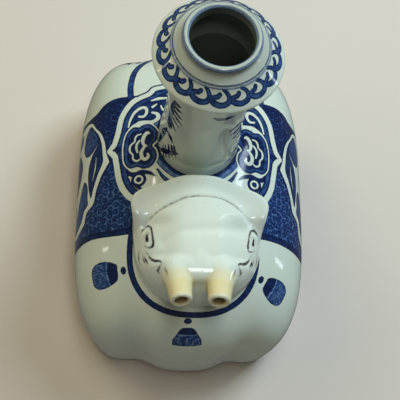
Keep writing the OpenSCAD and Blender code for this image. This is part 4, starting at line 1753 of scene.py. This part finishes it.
@dataclass
class Tail:
    """The tail, a tapered roll pressed on to the rump."""

    body: Body
    start_y: float = 63.0
    end_y: float = 91.5
    sunk: float = 0.4
    radii: tuple[float, ...] = (1.2, 3.2, 3.4, 3.0, 2.0)

    def build(self) -> None:
        """Makes the tail."""
        y = np.linspace(self.start_y, self.end_y, 9)
        x = np.zeros_like(y)
        points, faces = clay_roll(np.column_stack([x, y, self.body.back_z(x, y) - self.sunk]), self.radii)
        piece = new_piece("tail_roll", points, faces)
        Canvas(points).store(piece)
        settle(piece, "plain_glaze", FACE, "tail")


@dataclass(frozen=True)
class Lamp:
    """A soft panel of light: place and size in metres, watts, colour, and if only the glaze mirrors it."""

    name: str
    place: tuple[float, float, float]
    size: tuple[float, float]
    power: float
    tint: str
    mirrored: bool = False


LAMPS = (
    Lamp("north_light", (0.6, 0.5, 0.95), (0.5, 0.5), 12.0, "#DDF2FF"),
    Lamp("ceiling", (0.05, 0.0, 1.3), (0.9, 0.26), 4.8, "#FFFDF2"),
    Lamp("warm_lamp", (-0.65, 0.6, 0.95), (0.6, 0.6), 4.4, "#FFF2C8"),
    Lamp("left_fill", (-0.9, -0.1, 0.8), (0.5, 0.5), 1.2, "#FFF0DC"),
    Lamp("window_pane", (0.55, 0.45, 1.0), (0.06, 0.4), 0.7, "#DDF0FF", True),
    Lamp("left_pane", (-0.36, 0.4, 1.05), (0.07, 0.05), 0.14, "#FFFAF0", True),
    Lamp("skylight", (0.14, -0.46, 1.25), (0.3, 0.4), 4.0, "#F4F9FF", True),
    Lamp("right_window", (1.1, 0.06, 0.36), (0.05, 0.3), 0.35, "#E4F2FF", True),
    Lamp("left_window", (-1.1, 0.12, 0.45), (0.025, 0.2), 0.15, "#FFF6E4", True),
)


@dataclass
class Studio:
    """Floor, soft light and the camera at the photograph's angle."""

    lens_px: float = 900.0
    frame_px: float = 400.0
    sensor_mm: float = 36.0
    yaw: float = math.radians(14.86)
    pitch: float = math.radians(67.0)
    roll: float = math.radians(-16.23)
    spot: tuple[float, float, float] = (-47.2, -199.6, 530.6)
    aim: tuple[float, float, float] = (0, 0, 0.09)
    floor_tone: str = "#CFC7BD"
    floor_rough: float = 0.8
    floor_half: float = 3.0
    room_tone: str = "#E9E4DA"
    room_light: float = 0.025
    room_shine: float = 0.14

    def camera(self) -> None:
        """Sets the camera."""
        level = math.cos(self.pitch)
        ahead = Vector((math.sin(self.yaw) * level, math.cos(self.yaw) * level, -math.sin(self.pitch)))
        right = Vector((math.cos(self.yaw), -math.sin(self.yaw), 0))
        down = ahead.cross(right)
        across = math.cos(self.roll) * right + math.sin(self.roll) * down
        under = -math.sin(self.roll) * right + math.cos(self.roll) * down
        data = bpy.data.cameras.new("photo_view")
        data.sensor_width = self.sensor_mm
        data.lens = self.lens_px / self.frame_px * self.sensor_mm
        data.clip_start = 0.01
        camera = bpy.data.objects.new("photo_view", data)
        turn = Matrix((across, -under, -ahead)).transposed().to_4x4()
        camera.matrix_world = Matrix.Translation(Vector(self.spot) * MM) @ turn
        bpy.context.scene.collection.objects.link(camera)
        bpy.context.scene.camera = camera

    def hang(self, lamp: Lamp) -> None:
        """Hangs a lamp so that it faces the vessel.

        Args:
            lamp: Place, size and colour.
        """
        data = bpy.data.lights.new(lamp.name, "AREA")
        data.shape = "RECTANGLE"
        data.size, data.size_y = lamp.size
        data.energy = lamp.power
        data.color = linear(lamp.tint)[:3]
        light = bpy.data.objects.new(lamp.name, data)
        light.visible_glossy, light.visible_diffuse = lamp.mirrored, not lamp.mirrored
        light.visible_camera = False
        turn = (Vector(self.aim) - Vector(lamp.place)).to_track_quat("-Z", "Y").to_matrix().to_4x4()
        light.matrix_world = Matrix.Translation(lamp.place) @ turn
        bpy.context.scene.collection.objects.link(light)

    def floor(self) -> None:
        """Lays the floor."""
        mesh = bpy.data.meshes.new("floor")
        out = self.floor_half
        corners = [(-out, -out, 0), (out, -out, 0), (out, out, 0), (-out, out, 0)]
        mesh.from_pydata(corners, [], [(0, 1, 2, 3)])
        floor = bpy.data.objects.new("floor", mesh)
        bpy.context.scene.collection.objects.link(floor)
        material = bpy.data.materials.new("pale_floor")
        material.use_nodes = True
        shader = material.node_tree.nodes["Principled BSDF"]
        shader.inputs["Base Color"].default_value = linear(self.floor_tone)
        shader.inputs["Roughness"].default_value = self.floor_rough
        mesh.materials.append(material)
        floor.visible_glossy = False

    def room(self) -> None:
        """Sets the faint light of the room, which the glaze mirrors more strongly."""
        world = bpy.data.worlds.new("soft_room")
        bpy.context.scene.world = world
        world.use_nodes = True
        tree = world.node_tree
        sky = tree.nodes["Background"]
        sky.inputs["Color"].default_value = linear(self.room_tone)
        ray = add(tree, "ShaderNodeLightPath").outputs["Is Glossy Ray"]
        strength = add(tree, "ShaderNodeMath", {
            0: ray, 1: self.room_shine, 2: self.room_light}, operation="MULTIPLY_ADD")
        tree.links.new(strength.outputs[0], sky.inputs["Strength"])

    def build(self) -> None:
        """Makes the floor, the lights and the camera."""
        self.floor()
        self.room()
        for lamp in LAMPS:
            self.hang(lamp)
        bpy.context.scene.view_settings.view_transform = "Standard"
        self.camera()


def main() -> None:
    """Builds the vessel piece by piece and reports each."""
    logging.basicConfig(level=logging.INFO, format="%(name)s: %(message)s")
    body = Body()
    lathe = Lathe()
    body.build()
    Neck(lathe, body).build()
    Head(lathe, body).build()
    Tail(body).build()
    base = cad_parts["base_slab"]
    base.data.materials.clear()
    base.data.materials.append(BISCUIT)
    LOG.info("base_slab: kept as made, in unglazed clay")
    Studio().build()


if __name__ == "__main__":
    main()
